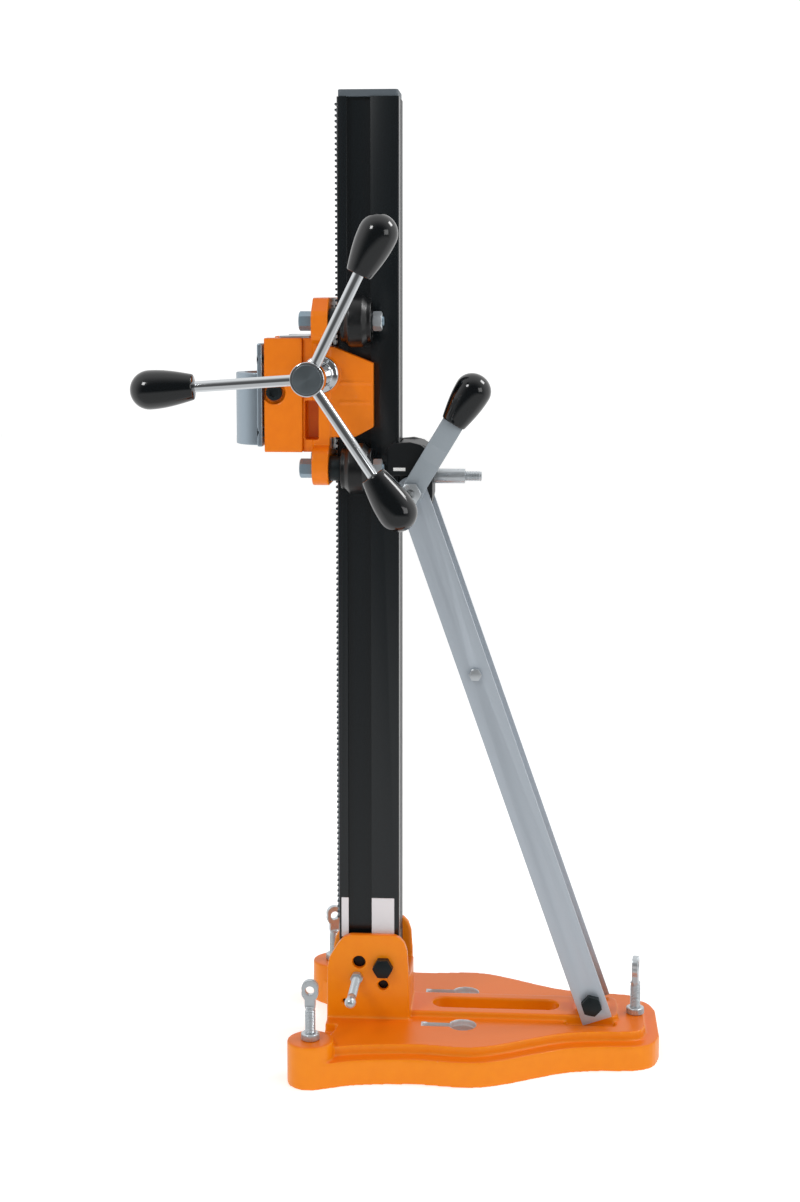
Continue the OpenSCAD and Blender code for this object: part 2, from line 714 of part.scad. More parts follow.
module grip(i) {
    color("#0c0e10") at_shaft() arm_turn(i) difference() {
        rotate_extrude() polygon(concat([[0, handle_reach - grip_len]],
            grip_curve(handle_reach - grip_len, handle_reach, 14, 21), [[0, handle_reach]]));
        cylinder(d = arm_d, h = handle_reach - grip_len + 21);
    }
}
module grip_a() { grip(0); }
module grip_b() { grip(1); }
module grip_c() { grip(2); }

// ---------- drawing ----------

base_plate();
level_locknuts();
level_foot_left();
level_foot_right();
level_foot_rear();
level_screw_left();
level_screw_right();
level_screw_rear();
tilt_bolt();
tilt_nut();
tilt_clamp_screw();
column_profile();
column_foot();
column_cap();
rack();
slider_block();
slider_stud();
slider_sleeve();
strut_pivot_bolt();
strut_pivot_nuts();
strut_bar_left();
strut_bar_right();
strut_spacer();
strut_foot_bolt();
strut_foot_nut();
lock_lever();
lock_lever_knob();
carriage_frame();
motor_block();
block_screws();
block_cover();
clamp_cap();
clamp_bolts();
neck_screws();
roller_axles();
roller_nuts();
roller_bushes();
roller_upper_left();
roller_upper_right();
roller_lower_left();
roller_lower_right();
bearing_left();
bearing_right();
shaft_collar();
pinion_shaft();
handle_hub();
hub_disc();
arm_a();
arm_b();
arm_c();
grip_a();
grip_b();
grip_c();
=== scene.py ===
# %% [markdown]
# # Core drill rig
# This lesson dresses a finished CAD frame of a core drill rig: a column that stands on a cast base
# and leans on a strut, with a geared carriage that feeds a drill motor into a floor or a wall. The
# CAD model already says where each part is and how it moves, so Blender only makes it look real:
# cast metal gets soft edges and paint, turned metal its fine grooves, and screws their threads.
# What no box tells, such as the outline of a grip or the band where the column is milled, is given
# in numbers.

import json
import math

import bmesh
import bpy
from mathutils import Matrix, Vector


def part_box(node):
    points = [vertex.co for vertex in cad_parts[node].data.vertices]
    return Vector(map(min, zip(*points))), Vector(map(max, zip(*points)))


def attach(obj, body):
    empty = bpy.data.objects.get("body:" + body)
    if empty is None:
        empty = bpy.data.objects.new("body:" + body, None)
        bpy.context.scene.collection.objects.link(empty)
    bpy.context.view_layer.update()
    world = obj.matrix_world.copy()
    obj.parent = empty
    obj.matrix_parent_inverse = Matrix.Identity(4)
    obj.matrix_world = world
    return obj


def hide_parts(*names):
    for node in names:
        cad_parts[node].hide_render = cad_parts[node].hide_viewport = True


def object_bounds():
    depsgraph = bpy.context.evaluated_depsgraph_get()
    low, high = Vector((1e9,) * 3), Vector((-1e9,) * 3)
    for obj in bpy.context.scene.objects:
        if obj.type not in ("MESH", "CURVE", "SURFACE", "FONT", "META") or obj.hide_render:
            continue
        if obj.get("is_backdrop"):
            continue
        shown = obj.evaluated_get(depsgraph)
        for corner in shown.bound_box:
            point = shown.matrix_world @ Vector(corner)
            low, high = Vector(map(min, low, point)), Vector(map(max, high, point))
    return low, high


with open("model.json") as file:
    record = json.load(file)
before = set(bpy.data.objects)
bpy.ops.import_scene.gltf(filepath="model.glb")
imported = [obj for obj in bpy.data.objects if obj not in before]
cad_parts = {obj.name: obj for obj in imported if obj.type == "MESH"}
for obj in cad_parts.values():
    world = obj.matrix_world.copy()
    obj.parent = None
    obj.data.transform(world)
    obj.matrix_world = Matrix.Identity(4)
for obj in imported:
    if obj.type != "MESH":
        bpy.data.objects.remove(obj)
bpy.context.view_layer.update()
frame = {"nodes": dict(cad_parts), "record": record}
scene = bpy.context.scene
MM = 0.001

# %% [markdown]
# ## Camera
# The rig is seen from its side, a little above the middle of the column. The lens is long so that
# the column stays straight, and it is shifted, as on a studio camera, instead of being tipped
# further down, which would make the column lean.

# %% Camera
camera_data = bpy.data.cameras.new("camera")
camera_data.sensor_width = 36
camera_data.lens = 54.6
camera_data.shift_y = -0.1007
camera_data.clip_end = 50
camera = bpy.data.objects.new("camera", camera_data)
camera.location = (0.1874, -2.0825, 0.8846)
camera.rotation_euler = (math.radians(90 - 5.925), 0, math.radians(4.217))
scene.collection.objects.link(camera)
scene.camera = camera
print("camera is", round((camera.location - Vector((0, 0, 0.55))).length, 2), "m from the rig")

# %% [markdown]
# ## Two helpers for node trees
# A colour is written as the sRGB hex value that a painter would read off a chart, and one function
# turns it into the linear numbers that Blender mixes. One more function adds a node, sets it and
# links it, so that each finish below reads as a short list.

# %% Colours and nodes
def rgb(text):
    """Turns an sRGB hex colour into the linear colour that Blender works with."""
    parts = [int(text[i:i + 2], 16) / 255 for i in (1, 3, 5)]
    return tuple(c / 12.92 if c <= 0.04045 else ((c + 0.055) / 1.055) ** 2.4 for c in parts) + (1.0,)


def add(tree, kind, sockets=None, into=None, **settings):
    """Adds one node. sockets are values or other nodes' outputs, settings are its properties, and
    into is the socket that its first output feeds."""
    node = tree.nodes.new(kind)
    for name, value in settings.items():
        setattr(node, name, value)
    for key, value in (sockets or {}).items():
        if isinstance(value, bpy.types.NodeSocket):
            tree.links.new(value, node.inputs[key])
        else:
            node.inputs[key].default_value = value
    if into is not None:
        tree.links.new(node.outputs[0], into)
    return node


print("a grey of #808080 sends back", round(rgb("#808080")[0], 3), "of the light")

# %% [markdown]
# ## Floor, studio and light
# Chrome and gloss black need something dark to mirror, or they look like plain grey. So the
# studio is white for soft light, but what a glossy surface mirrors has one wide dark wall on the
# camera's side. Rods then show bright edges with a dark band along the middle, and the grips stay
# black with a thin bright rim. Lower down it lightens, as a pale floor would.

# %% Studio
FLOOR_REACH = 9                      # metres to each side
FLOOR_GLOW = 0.42                    # lifts the floor to the white of the room behind it
floor_mesh = bpy.data.meshes.new("floor")
corners = [(x * FLOOR_REACH, y * FLOOR_REACH, 0) for x, y in ((-1, -1), (1, -1), (1, 1), (-1, 1))]
floor_mesh.from_pydata(corners, [], [(0, 1, 2, 3)])
floor = bpy.data.objects.new("floor", floor_mesh)
scene.collection.objects.link(floor)
floor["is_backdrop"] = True
floor_paint = bpy.data.materials.new("pale_studio_floor")
floor_paint.use_nodes = True
floor_shader = floor_paint.node_tree.nodes["Principled BSDF"]
floor_shader.inputs["Base Color"].default_value = rgb("#F8F8F7")
floor_shader.inputs["Roughness"].default_value = 0.95
floor_shader.inputs["Emission Color"].default_value = (1, 1, 1, 1)
floor_shader.inputs["Emission Strength"].default_value = FLOOR_GLOW
floor.data.materials.append(floor_paint)
floor.visible_glossy = False         # gloss parts mirror the dark wall instead of the pale floor

DARK_WALL = Vector((0.1, -1.0, -0.1)).normalized()
DARKEST, BRIGHTEST = 0.1, 0.9        # what gloss mirrors in the middle of the wall, and away from it
WALL_EDGE, WALL_MIDDLE = -0.1, 0.85  # how far a direction agrees with the wall's, from -1 to 1
GROUND_LIGHT = 0.6                   # what gloss mirrors below, as if from a pale floor
GROUND_EDGE, GROUND_FULL = -0.1, -0.36
SOFT_LIGHT = 0.62                    # how strongly the room lights matt surfaces
BACKDROP = 1.1                       # how bright the room itself looks
world = bpy.data.worlds.new("studio")
world.use_nodes = True
scene.world = world
room = world.node_tree
background = room.nodes["Background"]
background.inputs["Color"].default_value = (1, 1, 1, 1)
direction = add(room, "ShaderNodeTexCoord").outputs["Generated"]
facing = add(room, "ShaderNodeVectorMath", {0: direction, 1: DARK_WALL}, operation="DOT_PRODUCT")
wall = add(room, "ShaderNodeMapRange",
           {"Value": facing.outputs["Value"], "From Min": WALL_EDGE, "From Max": WALL_MIDDLE,
            "To Min": BRIGHTEST, "To Max": DARKEST}, interpolation_type="SMOOTHSTEP").outputs[0]
steep = add(room, "ShaderNodeSeparateXYZ", {0: direction}).outputs[2]
ground = add(room, "ShaderNodeMapRange",
             {"Value": steep, "From Min": GROUND_EDGE, "From Max": GROUND_FULL,
              "To Min": 0.0, "To Max": GROUND_LIGHT}).outputs[0]
gloss = add(room, "ShaderNodeMath", {0: wall, 1: ground}, operation="MAXIMUM").outputs[0]
ray = add(room, "ShaderNodeLightPath").outputs
plain = add(room, "ShaderNodeMix", {0: ray["Is Camera Ray"], 2: SOFT_LIGHT, 3: BACKDROP},
            data_type="FLOAT").outputs[0]
add(room, "ShaderNodeMix", {0: ray["Is Glossy Ray"], 2: plain, 3: gloss},
    background.inputs["Strength"], data_type="FLOAT")
scene.view_settings.view_transform = "Standard"

AIM = Vector((0, 0, 0.5))            # every light points at the middle of the column
LIGHTS = {                           # place and width in metres, power in watts
    "key": ((-1.5, -2.1, 2.5), 0.7, 20),
    "fill": ((2.2, -1.8, 1.2), 1.2, 10),
    "top": ((1.5, 0.3, 2.1), 0.6, 12),
}
for name, (place, width, power) in LIGHTS.items():
    data = bpy.data.lights.new(name, "AREA")
    data.size = width
    data.energy = power
    light = bpy.data.objects.new(name, data)
    light.location = place
    light.rotation_euler = (AIM - Vector(place)).to_track_quat("-Z", "Y").to_euler()
    scene.collection.objects.link(light)
print("studio has", len(LIGHTS), "lights")

# %% [markdown]
# ## Starting a finish
# Every finish is a Principled shader with one or two fine patterns. Patterns read Object
# coordinates, in metres, so that their grain stays the same size on every part. `per(mm)` turns
# the real size of a grain into the Scale that a texture asks for.

# %% Finish helpers
SWING = {"From Min": 0.3, "From Max": 0.7}     # a noise texture seldom leaves this range


def per(mm):
    """The texture scale whose grain is about this many millimetres."""
    return 1000 / mm


def new_finish(name, colour, metallic, roughness, extra=None):
    """A material with its shader set. Returns it with its tree, shader and Object coordinates."""
    material = bpy.data.materials.new(name)
    material.use_nodes = True
    tree = material.node_tree
    shader = tree.nodes["Principled BSDF"]
    values = {"Base Color": rgb(colour), "Metallic": metallic, "Roughness": roughness, **(extra or {})}
    for key, value in values.items():
        shader.inputs[key].default_value = value
    return material, tree, shader, add(tree, "ShaderNodeTexCoord").outputs["Object"]


finishes = {}
print("a grain of 2 mm asks for a texture scale of", per(2))

# %% [markdown]
# ## Orange gloss paint on cast aluminium
# The base, carriage and motor block are sand castings with a thick gloss paint. Paint on a
# casting is never flat: it has the fine pull of orange peel and the slow waves of the casting
# under it. Faces that look up are painted a little redder than upright ones. Faces that look up
# read a little redder than upright ones. That is painted light, the tone that light from above
# gives the tops, so the tone follows which way a face looks. Why is not known, so the tone simply
# follows which way a face looks. The keyholes for anchor bolts are taken as milled last, with bare
# walls.

# %% Orange paint
KEYHOLE = (0.110, 0.050, 0)          # middle of a keyhole, from the column, in metres
KEYHOLE_R = 16.2 * MM
NECK_X, NECK_HALF_LENGTH, NECK_HALF_WIDTH = 86 * MM, 24 * MM, 6.2 * MM
BASE_TOP = 60 * MM                   # the keyholes end below this height
RAW_BELOW, RAW_R = 31 * MM, 34 * MM  # under the deck, the casting round a keyhole is left raw
BARE_METALLIC = 0.3
WAVE_MM, PEEL_MM = 11, 1.8           # both at about their real size
LOOKS_UP = {"From Min": 0.55, "From Max": 0.95}      # how far up a face looks, from -1 to 1


def orange_paint(name, light_tone, deep_tone, lit_top_tone, with_keyholes):
    """Gloss paint that drifts slowly between two tones, with painted light on faces that look up and the
    keyholes left bare on the base.
    """
    coat = {"Coat Weight": 0.1, "Coat Roughness": 0.08, "Specular IOR Level": 0.3}
    paint, tree, shader, place = new_finish(name, light_tone, 0, 0.34, coat)
    waves = add(tree, "ShaderNodeTexNoise",
                {"Vector": place, "Scale": per(WAVE_MM), "Detail": 2.0}).outputs[0]
    peel = add(tree, "ShaderNodeTexNoise",
               {"Vector": place, "Scale": per(PEEL_MM), "Detail": 1.0}).outputs[0]
    skin = add(tree, "ShaderNodeMath", {0: peel, 1: 0.3, 2: waves}, operation="MULTIPLY_ADD").outputs[0]
    add(tree, "ShaderNodeBump", {"Height": skin, "Distance": 0.22 * MM, "Strength": 0.5},
        shader.inputs["Normal"])
    tone = add(tree, "ShaderNodeMix", {0: waves, 6: rgb(deep_tone), 7: rgb(light_tone)},
               data_type="RGBA").outputs[2]
    # painted light: faces that look up are mixed towards the redder top tone that light from above lends
    # them
    face = add(tree, "ShaderNodeTexCoord").outputs["Normal"]
    level = add(tree, "ShaderNodeSeparateXYZ", {0: face}).outputs[2]
    top_light_mask = add(tree, "ShaderNodeMapRange", {"Value": level, **LOOKS_UP}).outputs[0]
    tone = add(tree, "ShaderNodeMix", {0: top_light_mask, 6: tone, 7: rgb(lit_top_tone)},
               data_type="RGBA").outputs[2]
    if with_keyholes:
        where = add(tree, "ShaderNodeSeparateXYZ", {0: place}).outputs
        across = add(tree, "ShaderNodeMath", {0: where[1]}, operation="ABSOLUTE").outputs[0]
        spot = add(tree, "ShaderNodeCombineXYZ", {0: where[0], 1: across}).outputs[0]
        reach = add(tree, "ShaderNodeVectorMath", {0: spot, 1: KEYHOLE},
                    operation="DISTANCE").outputs["Value"]
        in_round = add(tree, "ShaderNodeMath", {0: reach, 1: KEYHOLE_R}, operation="LESS_THAN").outputs[0]
        beside = add(tree, "ShaderNodeMath", {0: across, 1: KEYHOLE[1], 2: NECK_HALF_WIDTH},
                     operation="COMPARE").outputs[0]
        along = add(tree, "ShaderNodeMath", {0: where[0], 1: NECK_X, 2: NECK_HALF_LENGTH},
                    operation="COMPARE").outputs[0]
        in_neck = add(tree, "ShaderNodeMath", {0: beside, 1: along}, operation="MULTIPLY").outputs[0]
        bare = add(tree, "ShaderNodeMath", {0: in_round, 1: in_neck}, operation="MAXIMUM").outputs[0]
        below = add(tree, "ShaderNodeMath", {0: where[2], 1: BASE_TOP}, operation="LESS_THAN").outputs[0]
        bare = add(tree, "ShaderNodeMath", {0: bare, 1: below}, operation="MULTIPLY").outputs[0]
        under = add(tree, "ShaderNodeMath", {0: where[2], 1: RAW_BELOW}, operation="LESS_THAN").outputs[0]
        wide = add(tree, "ShaderNodeMath", {0: reach, 1: RAW_R}, operation="LESS_THAN").outputs[0]
        raw = add(tree, "ShaderNodeMath", {0: under, 1: wide}, operation="MULTIPLY").outputs[0]
        bare = add(tree, "ShaderNodeMath", {0: bare, 1: raw}, operation="MAXIMUM").outputs[0]
        tone = add(tree, "ShaderNodeMix", {0: bare, 6: tone, 7: rgb("#C9CDCF")},
                   data_type="RGBA").outputs[2]
        add(tree, "ShaderNodeMath", {0: bare, 1: BARE_METALLIC}, shader.inputs["Metallic"],
            operation="MULTIPLY")
    tree.links.new(tone, shader.inputs["Base Color"])
    return paint


# the third colour of each paint is the painted light on faces that look up
finishes["cast_orange"] = orange_paint("gloss_paint_on_cast_aluminium", "#EA7C00", "#E07000", "#E76C08",
                                       False)
finishes["base_orange"] = orange_paint("gloss_paint_on_cast_base", "#EF8A00", "#E98000", "#EE7508", True)
print("orange paint: waves of", WAVE_MM, "mm, peel of", PEEL_MM, "mm, bare walls in the keyholes")

# %% [markdown]
# ## Black anodised column
# The column is an aluminium extrusion, dyed black in the anodising bath. The die leaves faint
# lines along its whole length. Near its foot the faces are milled flat where they meet the
# base, and there the bare metal shines. A mask by place shows the bare metal inside that band.

# %% Anodised extrusion
DIE_MM = 0.9                                     # really finer: this coarse so that the lines show
MILLED_Z, MILLED_HALF_Z = 0.158, 0.0235          # middle of the milled band, and half its height
MILLED_X, MILLED_HALF_X = -0.0015, 0.0308        # its middle along the rig, and half its length
MILLED_Y = 0.0291                                # it is the skin further out than this
anodised, tree, shader, place = new_finish("black_anodised_extrusion", "#0A1418", 0, 0.26, {"IOR": 1.6})
lines = add(tree, "ShaderNodeMapping", {"Vector": place, "Scale": (1, 1, 0.01)}).outputs[0]
die = add(tree, "ShaderNodeTexNoise", {"Vector": lines, "Scale": per(DIE_MM), "Detail": 2.0}).outputs[0]
add(tree, "ShaderNodeBump", {"Height": die, "Distance": 0.04 * MM, "Strength": 0.5},
    shader.inputs["Normal"])
where = add(tree, "ShaderNodeSeparateXYZ", {0: place}).outputs
height_in = add(tree, "ShaderNodeMath", {0: where[2], 1: MILLED_Z, 2: MILLED_HALF_Z},
                operation="COMPARE").outputs[0]
depth = add(tree, "ShaderNodeMath", {0: where[1]}, operation="ABSOLUTE").outputs[0]
depth_in = add(tree, "ShaderNodeMath", {0: depth, 1: MILLED_Y}, operation="GREATER_THAN").outputs[0]
along_in = add(tree, "ShaderNodeMath", {0: where[0], 1: MILLED_X, 2: MILLED_HALF_X},
               operation="COMPARE").outputs[0]
milled = add(tree, "ShaderNodeMath", {0: height_in, 1: depth_in}, operation="MULTIPLY").outputs[0]
milled = add(tree, "ShaderNodeMath", {0: milled, 1: along_in}, operation="MULTIPLY").outputs[0]
tone = add(tree, "ShaderNodeMix", {0: milled, 6: rgb("#0A1216"), 7: rgb("#EBE9EC")}, data_type="RGBA")
tree.links.new(tone.outputs[2], shader.inputs["Base Color"])
add(tree, "ShaderNodeMath", {0: milled, 1: 0.35}, shader.inputs["Metallic"], operation="MULTIPLY")
finishes["black_anodised"] = anodised
print("anodised column: milled band", round(2 * MILLED_HALF_Z / MM), "mm high, die lines", DIE_MM, "mm")

# %% [markdown]
# ## Black castings
# The strut's slider and the column's foot are small castings, shot-blasted and painted a satin
# black. The blasting leaves a fine even grain. The slider has a pointer groove on each cheek,
# filled with white paint so that the column's angle can be read.

# %% Black casting paint
BLAST_MM = 1.1                                   # really finer: this coarse so that the grain shows
POINTER_Z, POINTER_HALF_Z = 0.684, 0.0018        # middle of the pointer groove, and half its height
POINTER_X, POINTER_HALF_X = 0.036, 0.0068        # its middle along the rig, and half its length
POINTER_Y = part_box("slider_block")[1].y - 2.4 * MM
black_cast, tree, shader, place = new_finish("satin_paint_on_blasted_casting", "#0C1216", 0, 0.42,
                                             {"IOR": 1.5})
grain = add(tree, "ShaderNodeTexNoise",
            {"Vector": place, "Scale": per(BLAST_MM), "Detail": 3.0}).outputs[0]
add(tree, "ShaderNodeBump", {"Height": grain, "Distance": 0.12 * MM, "Strength": 0.5},
    shader.inputs["Normal"])
where = add(tree, "ShaderNodeSeparateXYZ", {0: place}).outputs
level_in = add(tree, "ShaderNodeMath", {0: where[2], 1: POINTER_Z, 2: POINTER_HALF_Z},
               operation="COMPARE").outputs[0]
along_in = add(tree, "ShaderNodeMath", {0: where[0], 1: POINTER_X, 2: POINTER_HALF_X},
               operation="COMPARE").outputs[0]
near = add(tree, "ShaderNodeMath", {0: where[1]}, operation="ABSOLUTE").outputs[0]
near_in = add(tree, "ShaderNodeMath", {0: near, 1: POINTER_Y}, operation="GREATER_THAN").outputs[0]
pointer = add(tree, "ShaderNodeMath", {0: level_in, 1: along_in}, operation="MULTIPLY").outputs[0]
pointer = add(tree, "ShaderNodeMath", {0: pointer, 1: near_in}, operation="MULTIPLY").outputs[0]
tone = add(tree, "ShaderNodeMix", {0: pointer, 6: rgb("#0C1216"), 7: rgb("#F4F4F2")}, data_type="RGBA")
tree.links.new(tone.outputs[2], shader.inputs["Base Color"])
finishes["black_casting"] = black_cast
print("black casting paint: blast grain", BLAST_MM, "mm, white pointer grooves")

# %% [markdown]
# ## Bare and plated metals
# The screws, studs and plates are steel with different skins: zinc plate is bright with cloudy
# patches, black oxide keeps the turning marks, and blue zinc has a cold tint. They differ in
# colour, roughness and the size of their clouds, so one table makes them all. A plated or blasted
# skin scatters part of the light as paint does, so most are a little less than fully metallic.

# %% Metals
# Colour, how metallic, roughness low and high, cloud size and depth of marks in mm. The grain of
# the blasted plate and of the bronze is really finer: it is this coarse so that it shows.
METALS = {
    "bright_steel": ("zinc_plated_steel", "#CDD3D7", 0.75, 0.26, 0.36, 6, 0.008),
    "rack_steel": ("milled_rack_steel", "#6C747A", 0.8, 0.35, 0.45, 2, 0.02),
    "blasted_plate": ("blasted_steel_plate", "#98A1A8", 0.25, 0.5, 0.6, 1.5, 0.01),
    "black_steel": ("black_oxide_steel", "#252D30", 0.6, 0.35, 0.5, 4, 0.01),
    "blued_steel": ("blue_zinc_plated_steel", "#90A6B4", 0.6, 0.3, 0.4, 5, 0.01),
    "clamp_metal": ("tumbled_cast_aluminium", "#A3B1BC", 0.85, 0.3, 0.38, 3, 0.01),
    "bronze": ("sintered_bronze", "#A8814A", 1.0, 0.35, 0.5, 1.2, 0.02),
}
for slot_name, (real_name, colour, metallic, low, high, cloud_mm, depth_mm) in METALS.items():
    material, tree, shader, place = new_finish(real_name, colour, metallic, low)
    clouds = add(tree, "ShaderNodeTexNoise",
                 {"Vector": place, "Scale": per(cloud_mm), "Detail": 4.0}).outputs[0]
    add(tree, "ShaderNodeMapRange", {"Value": clouds, **SWING, "To Min": low, "To Max": high},
        shader.inputs["Roughness"])
    add(tree, "ShaderNodeBump", {"Height": clouds, "Distance": depth_mm * MM, "Strength": 0.4},
        shader.inputs["Normal"])
    finishes[slot_name] = material
print("metals:", ", ".join(sorted(METALS)))

# %% [markdown]
# ## Chrome plate
# The feed handle's hub and arms are polished and chrome plated. Chrome has almost no grain, so
# what the eye reads is only the studio in it. A very faint slow wave keeps the mirror from
# looking computed.

# %% Chrome
POLISH_MM = 9
chrome, tree, shader, place = new_finish("polished_chrome_plate", "#DDE1E4", 1, 0.06)
polish = add(tree, "ShaderNodeTexNoise",
             {"Vector": place, "Scale": per(POLISH_MM), "Detail": 1.0}).outputs[0]
add(tree, "ShaderNodeBump", {"Height": polish, "Distance": 0.03 * MM, "Strength": 0.3},
    shader.inputs["Normal"])
add(tree, "ShaderNodeMapRange", {"Value": polish, **SWING, "To Min": 0.05, "To Max": 0.1},
    shader.inputs["Roughness"])
finishes["chrome"] = chrome
print("chrome: slow waves of", POLISH_MM, "mm")

# %% [markdown]
# ## Turned end face
# The disc in the hub's end is faced on a lathe. The tool leaves rings round the middle, which
# spread a highlight into two bright fans. The rings are a wave that depends only on the
# distance from the shaft's axis.

# %% Turned disc
def middle(node):
    """The middle of a CAD node's box."""
    low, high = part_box(node)
    return (low + high) / 2


RING_MM = 0.8                        # really finer: this coarse so that the rings show
hub_axis = middle("hub_disc")
turned, tree, shader, place = new_finish("faced_dark_steel", "#727B80", 0.8, 0.34, {"Anisotropic": 0.6})
centred = add(tree, "ShaderNodeMapping",
              {"Vector": place, "Location": -hub_axis, "Scale": (1, 0, 1)}).outputs[0]
reach = add(tree, "ShaderNodeVectorMath", {0: centred}, operation="LENGTH").outputs["Value"]
ring_at = add(tree, "ShaderNodeMath", {0: reach, 1: 2 * math.pi * per(RING_MM)},
              operation="MULTIPLY").outputs[0]
rings = add(tree, "ShaderNodeMath", {0: ring_at}, operation="SINE").outputs[0]
add(tree, "ShaderNodeBump", {"Height": rings, "Distance": 0.03 * MM, "Strength": 0.6},
    shader.inputs["Normal"])
add(tree, "ShaderNodeTangent", None, shader.inputs["Tangent"], direction_type="RADIAL", axis="Y")
finishes["turned_disc"] = turned
print("turned disc: a ring every", RING_MM, "mm")

# %% [markdown]
# ## Drawn aluminium bar
# The two strut bars are flat bar as it comes from the mill, with drawing lines along their
# length. The bars lean, so the pattern is turned by the same angle before it is stretched.

# %% Strut bar finish
LINE_MM = 1.6                        # really finer: this coarse so that the lines show
strut_top, strut_foot = middle("strut_pivot_bolt"), middle("strut_foot_bolt")
strut_lean = math.atan2(strut_foot.x - strut_top.x, strut_top.z - strut_foot.z)
bar, tree, shader, place = new_finish("drawn_aluminium_bar", "#BCC5CE", 0.5, 0.34)
upright = add(tree, "ShaderNodeMapping", {"Vector": place, "Rotation": (0, strut_lean, 0)}).outputs[0]
drawn = add(tree, "ShaderNodeMapping", {"Vector": upright, "Scale": (1, 1, 0.012)}).outputs[0]
streaks = add(tree, "ShaderNodeTexNoise",
              {"Vector": drawn, "Scale": per(LINE_MM), "Detail": 3.0}).outputs[0]
add(tree, "ShaderNodeMapRange", {"Value": streaks, **SWING, "To Min": 0.28, "To Max": 0.44},
    shader.inputs["Roughness"])
add(tree, "ShaderNodeBump", {"Height": streaks, "Distance": 0.03 * MM, "Strength": 0.5},
    shader.inputs["Normal"])
finishes["aluminium_bar"] = bar
print("strut leans", round(math.degrees(strut_lean), 1), "degrees; drawing lines every", LINE_MM, "mm")

# %% [markdown]
# ## Plastics
# The grips are pressed from phenolic resin and polished to a deep gloss, the rollers are moulded
# nylon, and the column's end cap is a plain moulding. Each has a fine grain from its mould.

# %% Plastics
# Colour, roughness, IOR, grain in mm, depth in mm, coat. The mould's grain on the nylon and the cap
# is really finer: it is this coarse so that it shows.
PLASTICS = {
    "gloss_black": ("polished_phenolic", "#05090C", 0.12, 1.5, 9, 0.01, 0.3),
    "black_nylon": ("moulded_black_nylon", "#0B0D0F", 0.3, 1.53, 1.5, 0.05, 0.0),
    "grey_plastic": ("moulded_grey_cap", "#4F585F", 0.5, 1.5, 1.0, 0.06, 0.0),
}
for slot_name, (real_name, colour, rough, ior, grain_mm, depth_mm, coat) in PLASTICS.items():
    extra = {"IOR": ior, "Coat Weight": coat, "Coat Roughness": 0.03}
    material, tree, shader, place = new_finish(real_name, colour, 0, rough, extra)
    grain = add(tree, "ShaderNodeTexNoise",
                {"Vector": place, "Scale": per(grain_mm), "Detail": 2.0}).outputs[0]
    add(tree, "ShaderNodeBump", {"Height": grain, "Distance": depth_mm * MM, "Strength": 0.4},
        shader.inputs["Normal"])
    finishes[slot_name] = material
print("plastics:", ", ".join(sorted(PLASTICS)))

# %% [markdown]
# ## Taking a clean copy of a CAD node
# A CAD node's mesh is loose triangles. A copy has its doubled corners merged, and the triangles
# of each flat face joined into one face, so that edges can be chamfered. The finished copy rides
# on the same body and the CAD node is hidden behind it.

# %% Copies and pieces
bodies = frame["record"]["behaviour"]["bodies"]
body_of_node = {node: body for body, nodes in bodies.items() for node in nodes}
slot_of_node = {part["node"]: part["material_slot"] for part in frame["record"]["subparts"]}


def to_mesh(bm):
    """Turns a bmesh into a mesh whose faces point outwards."""
    bmesh.ops.recalc_face_normals(bm, faces=bm.faces)
    mesh = bpy.data.meshes.new("work")
    bm.to_mesh(mesh)
    bm.free()
    return mesh


def clean_copy(node):
    """The node's solid as a bmesh with merged corners."""
    bm = bmesh.new()
    bm.from_mesh(frame["nodes"][node].data)
    bmesh.ops.remove_doubles(bm, verts=bm.verts, dist=0.005 * MM)
    return bm


def chamfered(node, width_mm, least_angle=28, segments=2):
    """A copy of the node with its sharp edges rounded by so many millimetres."""
    bm = clean_copy(node)
    bmesh.ops.dissolve_limit(bm, angle_limit=math.radians(1), verts=bm.verts, edges=bm.edges)
    least = math.radians(least_angle)
    sharp = [e for e in bm.edges if len(e.link_faces) == 2 and e.calc_face_angle() > least]
    bmesh.ops.bevel(bm, geom=sharp, offset=width_mm * MM, segments=segments, profile=0.6,
                    affect="EDGES", clamp_overlap=True)
    return to_mesh(bm)


def joined(meshes):
    """Several meshes as one."""
    bm = bmesh.new()
    for mesh in meshes:
        bm.from_mesh(mesh)
    mesh = bpy.data.meshes.new("work")
    bm.to_mesh(mesh)
    bm.free()
    return mesh


def finished(name, mesh, nodes, finish=None, smooth_angle=35):
    """Puts a finished mesh on its body, in place of the CAD nodes that it stands for."""
    mesh.name = name
    mesh.materials.clear()
    mesh.materials.append(finishes[finish or slot_of_node[nodes[0]]])
    mesh.polygons.foreach_set("use_smooth", [True] * len(mesh.polygons))
    mesh.polygons.foreach_set("material_index", [0] * len(mesh.polygons))
    mesh.set_sharp_from_angle(angle=math.radians(smooth_angle))
    piece = bpy.data.objects.new(name, mesh)
    scene.collection.objects.link(piece)
    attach(piece, body_of_node[nodes[0]])
    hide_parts(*nodes)
    return piece


# %% [markdown]
# ## Castings
# A sand casting has no sharp edge anywhere, because sand can't hold one. Bevelling every edge by
# hand is slow where many shapes meet. Here the solid is cut into small cubes and skinned again
# (a voxel remesh), and the skin is relaxed a few times, so every edge and inner corner rounds off
# by itself. Last, faces that the flat areas don't need are taken out.

# %% Castings
def reskinned(node, cube_mm, relaxed, kept=None):
    """The node skinned again over small cubes, relaxed, and thinned to a share of its faces."""
    blank = bpy.data.objects.new("blank", to_mesh(clean_copy(node)))
    scene.collection.objects.link(blank)
    skin = blank.modifiers.new("skin", "REMESH")
    skin.mode = "VOXEL"
    skin.voxel_size = cube_mm * MM
    relax = blank.modifiers.new("relax", "SMOOTH")
    relax.factor = 0.5
    relax.iterations = relaxed
    if kept:
        blank.modifiers.new("thin", "DECIMATE").ratio = kept
    mesh = bpy.data.meshes.new_from_object(blank.evaluated_get(bpy.context.evaluated_depsgraph_get()))
    bpy.data.objects.remove(blank)
    return mesh


